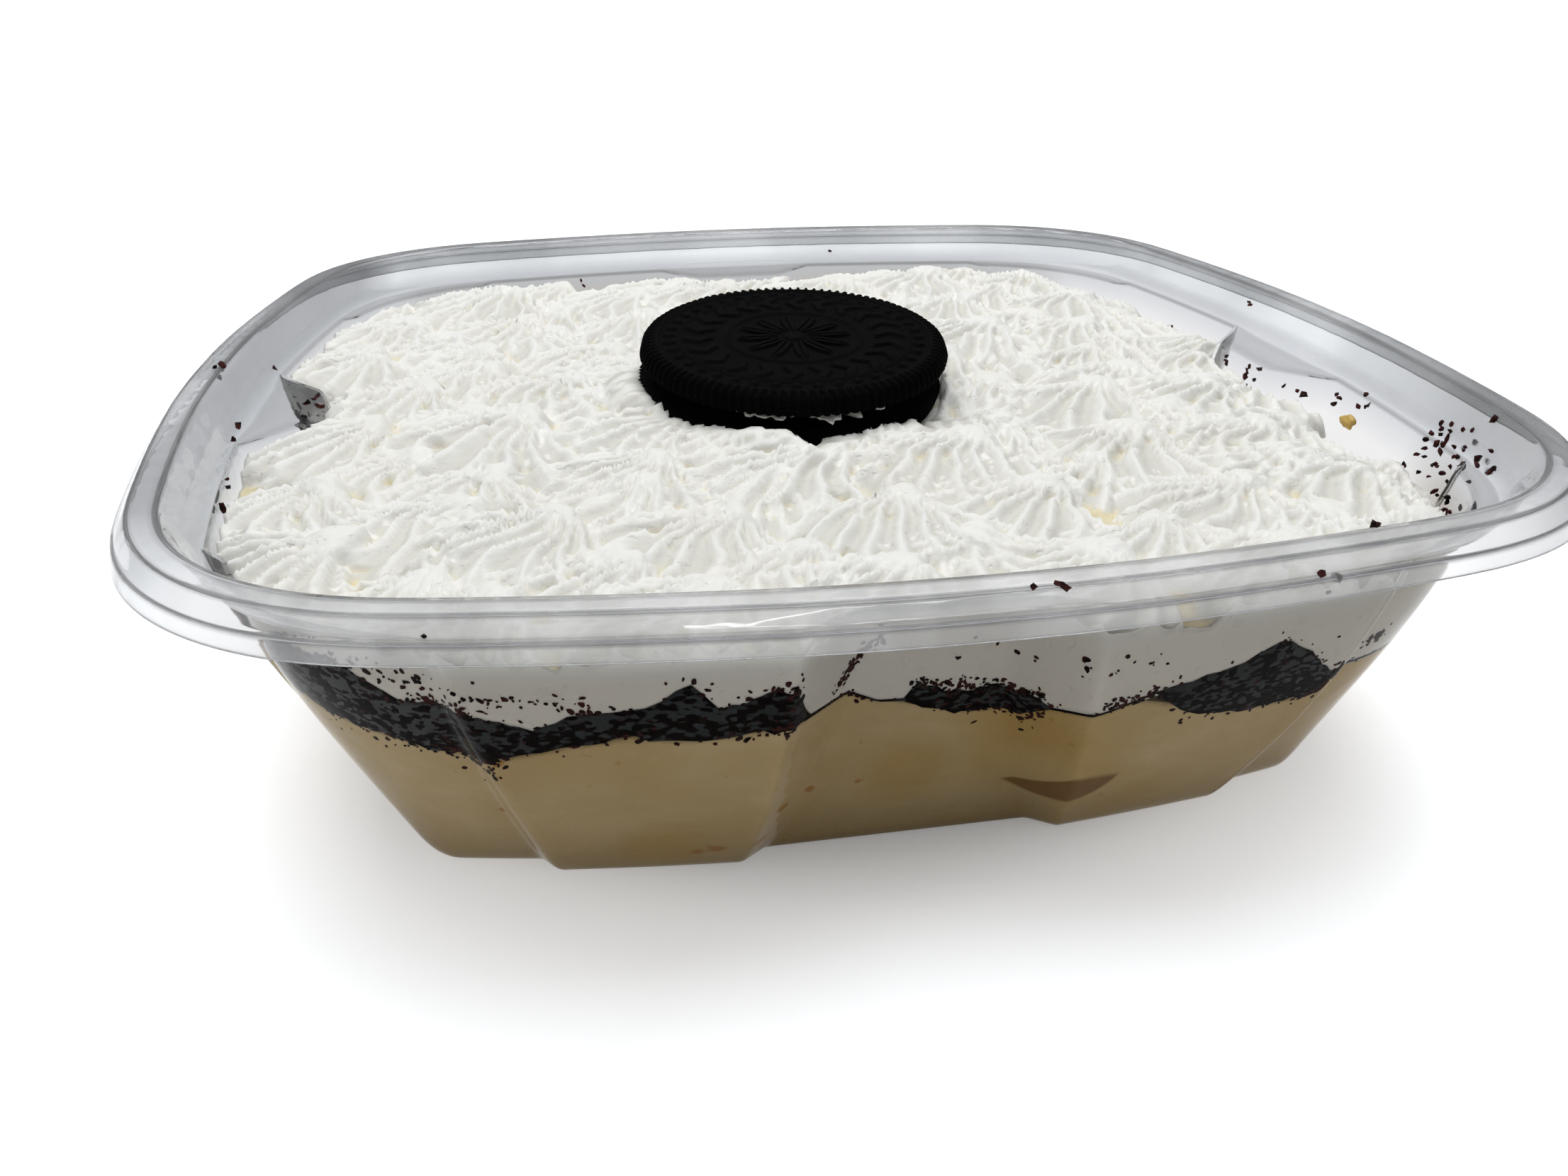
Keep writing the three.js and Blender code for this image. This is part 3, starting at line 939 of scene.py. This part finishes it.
# The same to the left of the biscuit: distance back and height
SIDE_COLLAR = ((-14, 0), (-12, 36), (-7, 40.2), (6, 40.6), (13, 36), (15, 0))
COLLAR_REACH = 24.8
COLLAR_WIDTH = 2.6
COLLAR_END = 33
COLLAR_SLOPE = 0.35

# Height at which the cream meets the wall, lowest and highest, and how much less on the right
CONTACT = (34.2, 38.2)
RIGHT_FALL = (4, 7)
EDGE_FALL = 0.8
CREAM_CELLS = 306
CREAM_SIDE_ROWS = 10


def bed_height(x):
    return BED_HEIGHT - BED_DIP * smoothstep(x, 56, 76)


def number_source(seed):
    """A repeatable random number generator, from 0 to 1, the same as the solids have."""
    state = seed
    while True:
        state = (state * 1664525 + 1013904223) % 4294967296
        yield state / 4294967296


def shell_places():
    """Where the piped shells start, and how large, turned and raised they are."""
    numbers = number_source(11)

    def around(spread):
        return (next(numbers) * 2 - 1) * spread

    for row, stagger in enumerate(ROW_STAGGER):
        for i in range(SHELLS_IN_ROW):
            scale = 1 + around(0.12)
            x = FIRST_HEAD + stagger + SHELL_PITCH * i + around(2)
            y = FIRST_ROW + ROW_PITCH * row + around(2)
            heading = -10 - 22 * float(smoothstep(x, 0, 40)) + around(10)
            rise = around(0.6)
            reach = SHELL_LENGTH * math.cos(math.radians(heading))
            if x + reach <= SHELL_EDGE:
                yield x, y, scale, heading, rise


def swirl_places():
    """The tails of the shells, and of the smaller swirls between them."""
    draw = random.Random(8)
    for x, y, scale, _, rise in shell_places():
        tail_x, tail_y = x + TAIL_OFFSET[0], y + TAIL_OFFSET[1]
        foot = float(bed_height(x)) + SHELL_LIFT
        yield tail_x, tail_y, scale, FAN_HEADING + draw.uniform(-12, 12), foot + rise
        yield (
            tail_x + SHELL_PITCH / 2 + draw.uniform(-2, 2),
            tail_y + ROW_PITCH / 2 + draw.uniform(-2, 2),
            scale * FILL_SCALE,
            FAN_HEADING + draw.uniform(-25, 25),
            foot - FILL_DROP * draw.uniform(0.4, 1),
        )


def fan_form(along, side, curl, uneven):
    """The height in mm of a fluted fan at places from its tail, and how deep in a flute."""
    distance = np.hypot(along, side)
    lane = (np.degrees(np.arctan2(side, along)) - curl * distance) / FAN_SPREAD
    share = distance / (FAN_LENGTH * (1 - FAN_ROUND * lane**2))
    crest = np.interp(share, LANE_LENGTH, LANE_HEIGHT)
    side_fall = np.clip(1 - 0.75 * lane**4, 0, 1)
    groove = np.abs(np.sin((lane + uneven * 0.1) * FLUTES * math.pi / 2)) ** 0.7
    groove *= smoothstep(distance, 2, 7)
    height = crest * side_fall * SHELL_HEIGHT - FLUTE_DEPTH * groove
    return np.where((share < 1.02) & (np.abs(lane) < 1), height, -9), groove


def collared(height, x, y, flat):
    """The cream's height in mm with the rise that the biscuit has squeezed up round itself."""
    off_x, off_y = x - BISCUIT_CENTRE.x / MM, y - BISCUIT_CENTRE.y / MM
    away = np.hypot(off_x, off_y)
    crest = np.interp(x, *zip(*COLLAR)) + noise_at(flat, 2.4, 6) * 0.3
    limit = crest + np.maximum(away - COLLAR_REACH, 0) * COLLAR_SLOPE
    limit += 9 * smoothstep(off_y, -12, -2) + 9 * smoothstep(away, COLLAR_END - 3, COLLAR_END)
    beside = np.where(off_x < 0, np.interp(off_y, *zip(*SIDE_COLLAR)), 0)
    collar = np.maximum(np.where(off_y < 0, crest, 0), beside)
    collar -= ((away - COLLAR_REACH) / COLLAR_WIDTH) ** 2
    return np.maximum(np.minimum(height, limit), collar)


def piped_form(x, y):
    """The height of the cream's upper face in mm and its flutes' depth, at places in mm."""
    flat = flat_points(x, y)
    warped_x = x + roughness_at(flat, (8, 1, 2.0), (2.4, 2, 0.25))
    warped_y = y + roughness_at(flat, (8, 3, 2.0), (2.4, 4, 0.25))
    height = bed_height(x) + roughness_at(flat, (5, 5, 0.5), (1.7, 10, 0.4))
    flutes = np.full(len(x), BARE_BED)
    draw = random.Random(5)
    for tail_x, tail_y, scale, heading, foot in swirl_places():
        angle = math.radians(heading)
        cos, sin = math.cos(angle), math.sin(angle)
        off_x, off_y = (warped_x - tail_x) / scale, (warped_y - tail_y) / scale
        curl = draw.uniform(-0.4, 1.6)
        uneven = draw.uniform(-1, 1)
        near = np.hypot(off_x, off_y) < FAN_LENGTH * 1.05
        off_x, off_y = off_x[near], off_y[near]
        fan, groove = fan_form(off_x * cos + off_y * sin, off_y * cos - off_x * sin, curl, uneven)
        fan = foot + fan * scale
        flutes[near] = np.where(fan > height[near], groove, flutes[near])
        height[near] = np.maximum(height[near], fan)
    height = collared(height, x, y, flat)
    nicks = smoothstep(noise_at(flat, 2.4, 7), 0.4, 0.6) * 0.8
    froth = roughness_at(flat, (1.7, 8, 0.16), (0.9, 9, 0.1))
    slope = RIGHT_SLOPE * smoothstep(x, 56, 71) * (0.4 + 0.6 * smoothstep(-y, 0, 30))
    return np.maximum(height + froth - nicks - slope, LOWEST_TOP), flutes


def wall_radius_table():
    """How far out the tub's inner face is, by direction and height."""
    heights = np.linspace(18 * MM, SHOULDER, 44)
    angles = np.linspace(-math.pi, math.pi, 1441)
    shares = np.linspace(0, 1, 4000, endpoint=False)
    rows = []
    for height in heights:
        ring = food_wall.at_height(shares, np.full(len(shares), height))
        angle = np.arctan2(ring[:, 1], ring[:, 0])
        order = np.argsort(angle)
        radius = np.hypot(ring[:, 0], ring[:, 1])[order]
        rows.append(np.interp(angles, angle[order], radius, period=2 * math.pi))
    return heights, angles, rows


def on_wall(table, angle, height):
    """Points on the tub's inner face, by direction and height."""
    heights, angles, rows = table
    row = np.interp(height, heights, np.arange(len(heights)))
    low = np.minimum(row.astype(int), len(heights) - 2)
    radii = np.array([np.interp(angle, angles, radius) for radius in rows])
    points = np.arange(len(angle))
    share = row - low
    radius = radii[low, points] * (1 - share) + radii[low + 1, points] * share
    return polar_points(radius, angle, height)


def keep_under_biscuit(points):
    """Presses the cream down under the biscuit."""
    offset = points - np.array(BISCUIT_CENTRE)
    across = np.hypot(offset[:, 0], offset[:, 1])
    plane = BISCUIT_CENTRE.z - BISCUIT_DEPTH + offset[:, 1] * math.tan(BISCUIT_TILT)
    inside = across < BISCUIT_RADIUS - 0.2 * MM
    points[inside, 2] = np.minimum(points[inside, 2], plane[inside] + 0.1 * MM)
    return points


def lattice_mean(values, passes):
    """The values of a square lattice, each averaged with its neighbours that many times."""
    size = CREAM_CELLS + 1
    lattice = values.reshape(size, size)
    for _ in range(passes):
        padded = np.pad(lattice, 1, mode="edge")
        lattice = (padded[:-2, 1:-1] + padded[2:, 1:-1] + padded[1:-1, :-2] + padded[1:-1, 2:]) / 4
    return lattice.ravel()


def make_cream():
    """A square lattice drawn over the cream: its middle is the top, its outer rows the sides.

    Nothing in it is merged, so its values can be kept in order for the attributes.
    """
    table = wall_radius_table()
    edge_share = 1 - 2 * CREAM_SIDE_ROWS / CREAM_CELLS
    tops = []

    def place(v, u):
        a, b = 2 * v - 1, 2 * u - 1
        ring = np.maximum(np.abs(a), np.abs(b)) / edge_share
        angle = np.arctan2(b, a)
        level = np.full(len(a), CONTACT[1] * MM)
        for _ in range(3):
            x, y, _ = on_wall(table, angle, level).T / MM
            right = smoothstep(x, 54, 74)
            lowest, highest = (most - fall * right for most, fall in zip(CONTACT, RIGHT_FALL))
            level = np.clip(piped_form(x, y)[0] - EDGE_FALL, lowest, highest) * MM
        rim = on_wall(table, angle, level)
        points = np.hstack([rim[:, :2] * np.minimum(ring, 1)[:, None], rim[:, 2:]])
        heights, flutes = piped_form(points[:, 0] / MM, points[:, 1] / MM)
        heights = heights - smoothstep(ring, 0.95, 1) * EDGE_FALL
        top = ring < 0.9999
        points[top, 2] = heights[top] * MM
        side = (ring - 1) / (1 / edge_share - 1)
        foot = crumb_top(rim[:, 0], rim[:, 1]) - 0.3 * MM
        down = on_wall(table, angle, level + (foot - level) * np.clip(side, 0, 1))
        points[~top] = down[~top]
        tops.extend([heights, flutes, top])
        return keep_under_biscuit(points)

    cream = wrapped_grid("piped_cream", CREAM_CELLS, CREAM_CELLS, place)
    with editing(cream):
        bpy.ops.mesh.select_all(action="DESELECT")
        bpy.ops.mesh.select_non_manifold()
        bpy.ops.mesh.edge_face_add()
        bpy.ops.mesh.select_all(action="SELECT")
        bpy.ops.mesh.normals_make_consistent(inside=False)
    bpy.ops.object.shade_smooth()
    heights, flutes, top = tops
    # Painted shade marks: hollows lower than their surroundings and the bare bed, and the flutes'
    # grooves.
    deep = smoothstep(lattice_mean(heights, 16) - heights, 0.4, 1.1)
    add_attribute(cream, "crevice", np.maximum(deep, flutes > 1) * top)
    add_attribute(cream, "groove", smoothstep(flutes, 0.5, 0.95) * top)
    dress(cream, whipped_cream(), "cream", "whipped_cream")


# Crumbs

AMBER_PLACE = Vector((76.2, -22, 35)) * MM
AMBER_SIZE = np.array((1.7, 0.95, 0.6))
BAND_GRAINS = 7000
GRAIN_THICKNESS = 0.17 * MM

# Share of the way round the tub between which the front wall lies
FRONT_WALL = (0.63, 0.87)

# Streaks of grains on the front wall: from and to (across, height), spread, in mm, and count
STREAKS = (
    ((-9.8, 28.2), (-6, 33.6), 0.5, 90), ((-60, 35.2), (-35, 31.4), 0.7, 90),
    ((2, 30), (23, 31), 0.9, 22), ((-1, 26.5), (13, 24.5), 0.5, 120),
    ((17, 25.6), (24, 27.3), 0.5, 60), ((50, 26.6), (53, 27.2), 0.5, 40),
    ((-49.4, 26.6), (-45.2, 20.6), 0.15, 60),
)

# Loose crumbs on the tub's inner face: x, y, z, spread, all in mm, and how many
LOOSE_CRUMBS = (
    (70, -4.5, 36.2, 1.1, 8), (72.6, -10.5, 36.5, 0.2, 1), (74.2, -12.2, 36.7, 0.5, 2),
    (77.2, -17.5, 37.3, 0.9, 3), (76.8, -23, 37.9, 0.7, 4), (74.5, -37, 33.8, 1.2, 4),
    (74.5, -41, 36.4, 1.5, 6), (74, -44.5, 36, 1.5, 7), (73.3, -46.5, 33.5, 1.8, 9),
    (70, -53, 34.8, 2.0, 7), (74.6, -44.1, 40, 1.3, 6), (74, -48.3, 40, 1.3, 6),
    (72.5, -53.5, 40, 1.6, 6), (75.5, -42, 41, 0.7, 4), (74.7, -47.1, 41.1, 0.8, 5),
    (72.4, -56.2, 40.9, 0.4, 2), (76, -49.7, 44.4, 0.2, 1), (75.2, 33.6, 35, 0.5, 2),
    (76.9, 17.7, 35.2, 0.5, 3), (70.2, 3.9, 37.1, 0.6, 3), (69.5, 53.5, 35, 0.3, 1),
    (79.8, 15.8, 43.7, 0.6, 2), (-78.2, -11.9, 40.4, 0.2, 1), (-77.8, -16.8, 40, 0.2, 1),
    (-76.3, -28.5, 38.6, 0.4, 2), (-75.5, -34.7, 38.1, 0.2, 1), (-83, -2, 45.8, 0.8, 4),
    (-71.5, 2, 39.2, 0.9, 5), (-71.4, -5.8, 39.2, 0.3, 1), (-78.5, 13.5, 40.9, 0.1, 1),
    (41.4, -78.2, 45.7, 0.3, 3), (3.4, -84.8, 45.2, 0.2, 1), (6.6, -84.9, 45, 0.3, 2),
    (33.3, -84.1, 43, 0.6, 3), (-47.9, -81.6, 43.9, 0.2, 1), (-31.5, 75.8, 37.4, 0.4, 2),
    (-46.7, 73.6, 36.4, 0.3, 1), (20.2, 78.3, 41.6, 0.1, 1),
)


def scatter(name, draw, uneven, centres, sizes, *axes):
    """Small rough balls in one mesh, each at its centre and sized along three directions."""
    obj = add_primitive(bpy.ops.mesh.primitive_ico_sphere_add, name, subdivisions=1, radius=1)
    spacing = 3
    copies = obj.modifiers.new("grains", "ARRAY")
    copies.count = len(centres)
    copies.use_relative_offset = False
    copies.use_constant_offset = True
    copies.constant_offset_displace = (spacing, 0, 0)
    apply_modifiers(obj)
    balls = get_places(obj).reshape(len(centres), -1, 3)
    balls[:, :, 0] -= spacing * np.arange(len(centres))[:, None]
    balls *= draw.uniform(*uneven, balls.shape[:2])[:, :, None]
    points = centres[:, None, :] + sum(
        balls[:, :, k, None] * sizes[:, k, None, None] * axis[:, None, :]
        for k, axis in enumerate(axes)
    )
    set_places(obj, points.reshape(-1, 3))
    dress(obj, loose_crumb(), "dark_crumb")


def unit(vectors):
    return vectors / np.linalg.norm(vectors, axis=1, keepdims=True)


def lay_streaks(draw, around, height):
    """Moves the first grains to the streaks, by share of the way round and by height."""
    front = np.linspace(*FRONT_WALL, 800)
    first = 0
    for start, end, spread, number in STREAKS:
        way = draw.uniform(0, 1, (number, 1))
        spots = np.array(start) + (np.array(end) - start) * way
        spots += draw.normal(0, spread, (number, 2))
        middle = (start[1] + end[1]) / 2 * MM
        wall_x = food_wall.at_height(front, np.full(len(front), middle))[:, 0]
        around[first : first + number] = np.interp(spots[:, 0] * MM, wall_x, front)
        height[first : first + number] = spots[:, 1] * MM
        first += number


def make_band_grains():
    """Grains against the wall: along both edges of the dark band, in it, and in streaks."""
    draw = np.random.RandomState(23)
    around = draw.uniform(0, 1, BAND_GRAINS * 3)
    ring = crumb_wall.at_height(around, np.full(len(around), 28 * MM))
    low = cake_top(ring[:, 0], ring[:, 1])
    high = crumb_top(ring[:, 0], ring[:, 1])
    keep = draw.uniform(0, 1, len(around)) < np.clip((high - low) / (3 * MM), 0.05, 1)
    around, low, high = (values[keep][:BAND_GRAINS] for values in (around, low, high))
    count = len(around)
    kind = draw.uniform(0, 1, count)
    near = draw.exponential(0.6 * MM, count)
    clump = np.sin(around * 97) + np.sin(around * 41 + 2)
    stray = draw.uniform(0.5, 5, count) * MM * (clump > 0.4)
    within = low + (high - low) * draw.uniform(0, 1, count)
    edges = [high + near - 0.3 * MM, low - near + 0.3 * MM, within]
    height = np.select([kind < 0.30, kind < 0.64, kind < 0.96], edges, high + stray)
    lay_streaks(draw, around, height)
    height = np.minimum(height, 36 * MM)
    centres = food_wall.at_height(around, height)
    across = unit(food_wall.at_height(around + 1e-4, height) - centres)
    rise = unit(food_wall.at_height(around, height + 0.2 * MM) - centres)
    turn = draw.uniform(0, math.pi, (count, 1))
    along = unit(across * np.cos(turn) + rise * np.sin(turn))
    up = unit(rise * np.cos(turn) - across * np.sin(turn))
    size = np.clip(draw.lognormal(math.log(0.22), 0.4, (count, 1)), 0.1, 0.5) * MM
    size = size * draw.uniform((0.8, 0.6, 1), (1.5, 1.0, 1), (count, 3))
    size[:, 2] = GRAIN_THICKNESS
    scatter("band_grains", draw, (0.65, 1.3), centres, size, along, up, np.cross(along, up))


def make_loose_crumbs(tub):
    draw = np.random.RandomState(29)
    centres = []
    outs = []
    for x, y, z, spread, count in LOOSE_CRUMBS:
        for _ in range(count):
            aim = np.array([x, y, z]) + draw.normal(0, spread, 3)
            inside = Vector(aim * (0.994, 0.994, 1) + (0, 0, 0.2)) * MM
            _, spot, normal, _ = tub.closest_point_on_mesh(inside)
            centres.append(spot + normal * 0.25 * MM)
            outs.append(normal)
    count = len(centres)
    out = unit(np.array(outs))
    along = unit(np.cross(out, draw.normal(0, 1, (count, 3))))
    size = np.clip(draw.lognormal(math.log(0.35), 0.35, (count, 3)), 0.2, 0.8) * MM
    size[:, 2] = np.minimum(size[:, 2], 0.45 * MM)
    scatter(
        "loose_crumbs", draw, (0.5, 1.5), np.array(centres), size, along, np.cross(out, along), out
    )


def make_amber_crumb(tub):
    """A small soaked crumb of cake on the wall beside the cream's right edge."""
    _, spot, normal, _ = tub.closest_point_on_mesh(AMBER_PLACE)
    sphere = bpy.ops.mesh.primitive_ico_sphere_add
    obj = add_primitive(sphere, "amber_crumb", subdivisions=3, radius=1)
    ball = get_places(obj)
    lumps = roughness_at(ball, (0.7, 5, 0.45), (0.3, 6, 0.15))
    out = np.array(normal)
    along = np.cross(out, (0, 0, 1))
    up = np.cross(along, out)
    form = ball * (1 + lumps)[:, None] * AMBER_SIZE * MM
    place = np.array(spot) + out * 0.3 * MM
    set_places(obj, place + form[:, :1] * along + form[:, 1:2] * up + form[:, 2:] * out)
    bpy.ops.object.shade_smooth()
    dress(obj, amber_cake(), "cake")


# Biscuit

RIBS = 104
BISCUIT_COLUMNS = RIBS * 5
RIB_DEPTH = 0.6
FACE_ROWS = 64
FACE_DEPTH = 0.45
RELIEF = 0.42

# Round the wafer's edge, from its face to its back: distance out from its radius and height
WAFER_EDGE = (
    (-2.7, -0.32), (-2.4, -0.08), (-2.1, 0), (-1.5, 0), (-0.9, -0.08), (-0.4, -0.35),
    (-0.1, -0.8), (0.1, -1.4), (0.25, -2.0), (0.25, -2.6), (0, -3.05), (-0.5, -3.3), (-1.4, -3.4),
)

# The wafers don't lie quite in line
LOWER_SHIFT = -0.8
FILLING_SHIFT = -0.4

# Edge of the filling: shares of its reach and of its thickness, from its top to its underside
FILLING_REACH = 17.0
FILLING_ROWS = 36
FILLING_COLUMNS = 416
EDGE_OUT = (0, 0.5, 0.93, 0.985, 1, 1, 0.985, 0.93, 0.5, 0)
EDGE_DEPTH = (0, 0, 0, 0.08, 0.25, 0.75, 0.92, 1, 1, 1)

# Where it bulges out: direction in degrees, share of its thickness, reach in mm and half width in
# degrees
FILLING_LUMPS = (
    (243, 0.3, 3.9, 2.5), (249, 0.15, 4.7, 4), (256, 0.2, 4.5, 3), (272, 0.25, 4.2, 3),
    (277, 0.35, 4.3, 3.5), (287, 0.5, 3.9, 2), (296, 0.2, 4.5, 4), (30, 0.5, 3.2, 8),
    (150, 0.5, 3.4, 9), (205, 0.5, 2.8, 6),
)


def biscuit_place(points):
    turn = np.array(Matrix.Rotation(BISCUIT_TILT, 3, "X"))
    return points @ turn.T + np.array(BISCUIT_CENTRE)


def bump_ring(radius, middle, width):
    """1 on a ring of that width, in mm, and 0 off it, with soft sides."""
    return 1 - smoothstep(np.abs(radius - middle), width / 2 - 0.2, width / 2 + 0.2)


def ornament(radius, angle):
    """The height of the wafer's relief in mm: petals, chevrons and lozenges between rings."""
    petals = np.abs(np.cos(angle * 6)) ** 0.7
    flower = smoothstep(petals * 8.6 - radius, -0.3, 0.5) * smoothstep(radius, 2.1, 2.7)
    veins = 1 - 0.7 * smoothstep(0.18 - np.abs(np.sin(angle * 6)) * radius / 6, -0.1, 0.1)
    heart = 1 - smoothstep(radius, 1.3, 1.9)
    ring_dots = bump_ring(radius, 9.9, 0.55)
    slant = angle * 22 + np.abs(radius - 14.2) * 1.1
    chevrons = smoothstep(np.cos(slant), 0.0, 0.5) * bump_ring(radius, 14.2, 4.6)
    lozenges = smoothstep(
        0.8 - np.abs(np.sin(angle * 20)) * 1.0 - np.abs(radius - 18.4) / 1.1, -0.15, 0.2
    )
    border = bump_ring(radius, 16.95, 0.4)
    forms = [flower * veins, heart, ring_dots, chevrons, lozenges, border]
    return RELIEF * np.maximum.reduce(forms)


def wafer_profile():
    """Radius and height from the middle of the face, over the rim, to the middle beneath, in mm."""
    full = BISCUIT_RADIUS / MM
    face = [(r, -FACE_DEPTH) for r in np.linspace(0, full - 3.0, FACE_ROWS)]
    edge = [(full + out, height) for out, height in WAFER_EDGE]
    back = [(r, -3.4) for r in np.linspace(full - 2.2, 0, 8)]
    return np.array(face + edge + back)


def make_wafer(name, node, flip):
    profile = wafer_profile()
    rows = len(profile) - 1
    full = BISCUIT_RADIUS / MM

    def place(v, u):
        row = v * rows
        radius = np.interp(row, np.arange(rows + 1), profile[:, 0])
        height = np.interp(row, np.arange(rows + 1), profile[:, 1])
        angle = u * 2 * math.pi
        on_face = row <= FACE_ROWS - 1
        height = height + np.where(on_face, ornament(radius, angle), 0)
        ribbed = smoothstep(radius, full - 2.3, full - 1.1) * ~on_face
        rib = np.cos(angle * RIBS) * 0.5 + 0.5
        radius = radius - ribbed * rib * RIB_DEPTH
        height = height - ribbed * rib * RIB_DEPTH * smoothstep(height, -1.6, -0.2)
        wear = noise_at(polar_points(radius, angle, height), 3) * 0.12 * ~on_face
        points = polar_points(radius + wear, angle, height)
        if flip:
            points = points * (1, 1, -1) + (LOWER_SHIFT, 0, -BISCUIT_DEPTH / MM)
        return biscuit_place(points * MM)

    wafer = wrapped_grid(name, rows, BISCUIT_COLUMNS, place)
    dress(wafer, WAFER_FINISH, "dark_biscuit", node)


def make_filling():
    def place(v, u):
        angle = u * 2 * math.pi
        ring = flat_points(np.cos(angle), np.sin(angle))
        steps = np.linspace(0, 1, len(EDGE_OUT))
        depth = np.interp(v, steps, EDGE_DEPTH)
        edge = FILLING_REACH + noise_at(ring * 6, 1.6, 3) * 0.5
        for direction, level, reach, spread in FILLING_LUMPS:
            turn = (np.degrees(angle) - direction + 180) % 360 - 180
            edge = edge + reach * np.exp(-((turn / spread) ** 4) - ((depth - level) / 0.3) ** 2)
        edge = edge + noise_at(ring * 20 + depth[:, None] * (0, 0, 3), 0.9, 4) * 0.5
        points = ring * (np.interp(v, steps, EDGE_OUT) * edge)[:, None]
        points[:, 0] += FILLING_SHIFT
        points[:, 2] = -WAFER_THICKNESS / MM + 0.05 - depth * (FILLING_THICKNESS / MM + 0.1)
        return biscuit_place(points * MM)

    filling = wrapped_grid("sugar_filling", FILLING_ROWS, FILLING_COLUMNS, place)
    dress(filling, sugar_filling(), "biscuit_cream", "biscuit_filling")


# Scene


def add_to_scene(name, data):
    obj = bpy.data.objects.new(name, data)
    bpy.context.scene.collection.objects.link(obj)
    return obj


def make_camera():
    lens = bpy.data.cameras.new("camera")
    lens.sensor_width = SENSOR_WIDTH
    lens.lens = SENSOR_WIDTH * FOCAL_PIXELS / FRAME_WIDTH
    lens.clip_start = 0.01
    camera = add_to_scene("camera", lens)
    camera.matrix_world = (
        Matrix.Translation(CAMERA_PLACE)
        @ Matrix.Rotation(CAMERA_YAW, 4, "Z")
        @ Matrix.Rotation(math.pi / 2 - CAMERA_PITCH, 4, "X")
        @ Matrix.Rotation(CAMERA_ROLL, 4, "Z")
    )
    bpy.context.scene.camera = camera


def make_floor():
    plane = bpy.ops.mesh.primitive_plane_add
    floor = add_primitive(plane, "pale_floor", size=24, location=(0, 0, -0.05 * MM))
    floor.data.materials.append(pale_floor())


def add_light(name, place, target, width, depth, power):
    light = bpy.data.lights.new(name, "AREA")
    light.shape = "RECTANGLE"
    light.size = width
    light.size_y = depth
    light.energy = power
    lamp = add_to_scene(name, light)
    lamp.location = place
    lamp.rotation_mode = "QUATERNION"
    lamp.rotation_quaternion = (Vector(target) - Vector(place)).to_track_quat("-Z", "Y")


def make_light():
    world = bpy.data.worlds.new("studio")
    world.use_nodes = True
    sky = world.node_tree.nodes["Background"].inputs
    sky["Color"].default_value = (0.95, 0.97, 1.0, 1)
    sky["Strength"].default_value = 0.22
    bpy.context.scene.world = world
    add_light("top_softbox", (0.0, 0.28, 0.85), (0, 0, 0.03), 0.9, 0.8, 7.6)
    add_light("front_strip", (0.22, -0.62, 0.6), (0, -0.08, 0.045), 0.7, 0.008, 0.3)
    bpy.context.scene.view_settings.view_transform = "Standard"


make_camera()
make_light()
make_floor()
WAFER_FINISH = baked_wafer()
clear_tub = make_tub()
make_cake()
make_crumb_layer()
make_cream()
make_band_grains()
make_loose_crumbs(clear_tub)
make_amber_crumb(clear_tub)
make_wafer("upper_wafer", "biscuit_upper_wafer", flip=False)
make_wafer("lower_wafer", "biscuit_lower_wafer", flip=True)
make_filling()
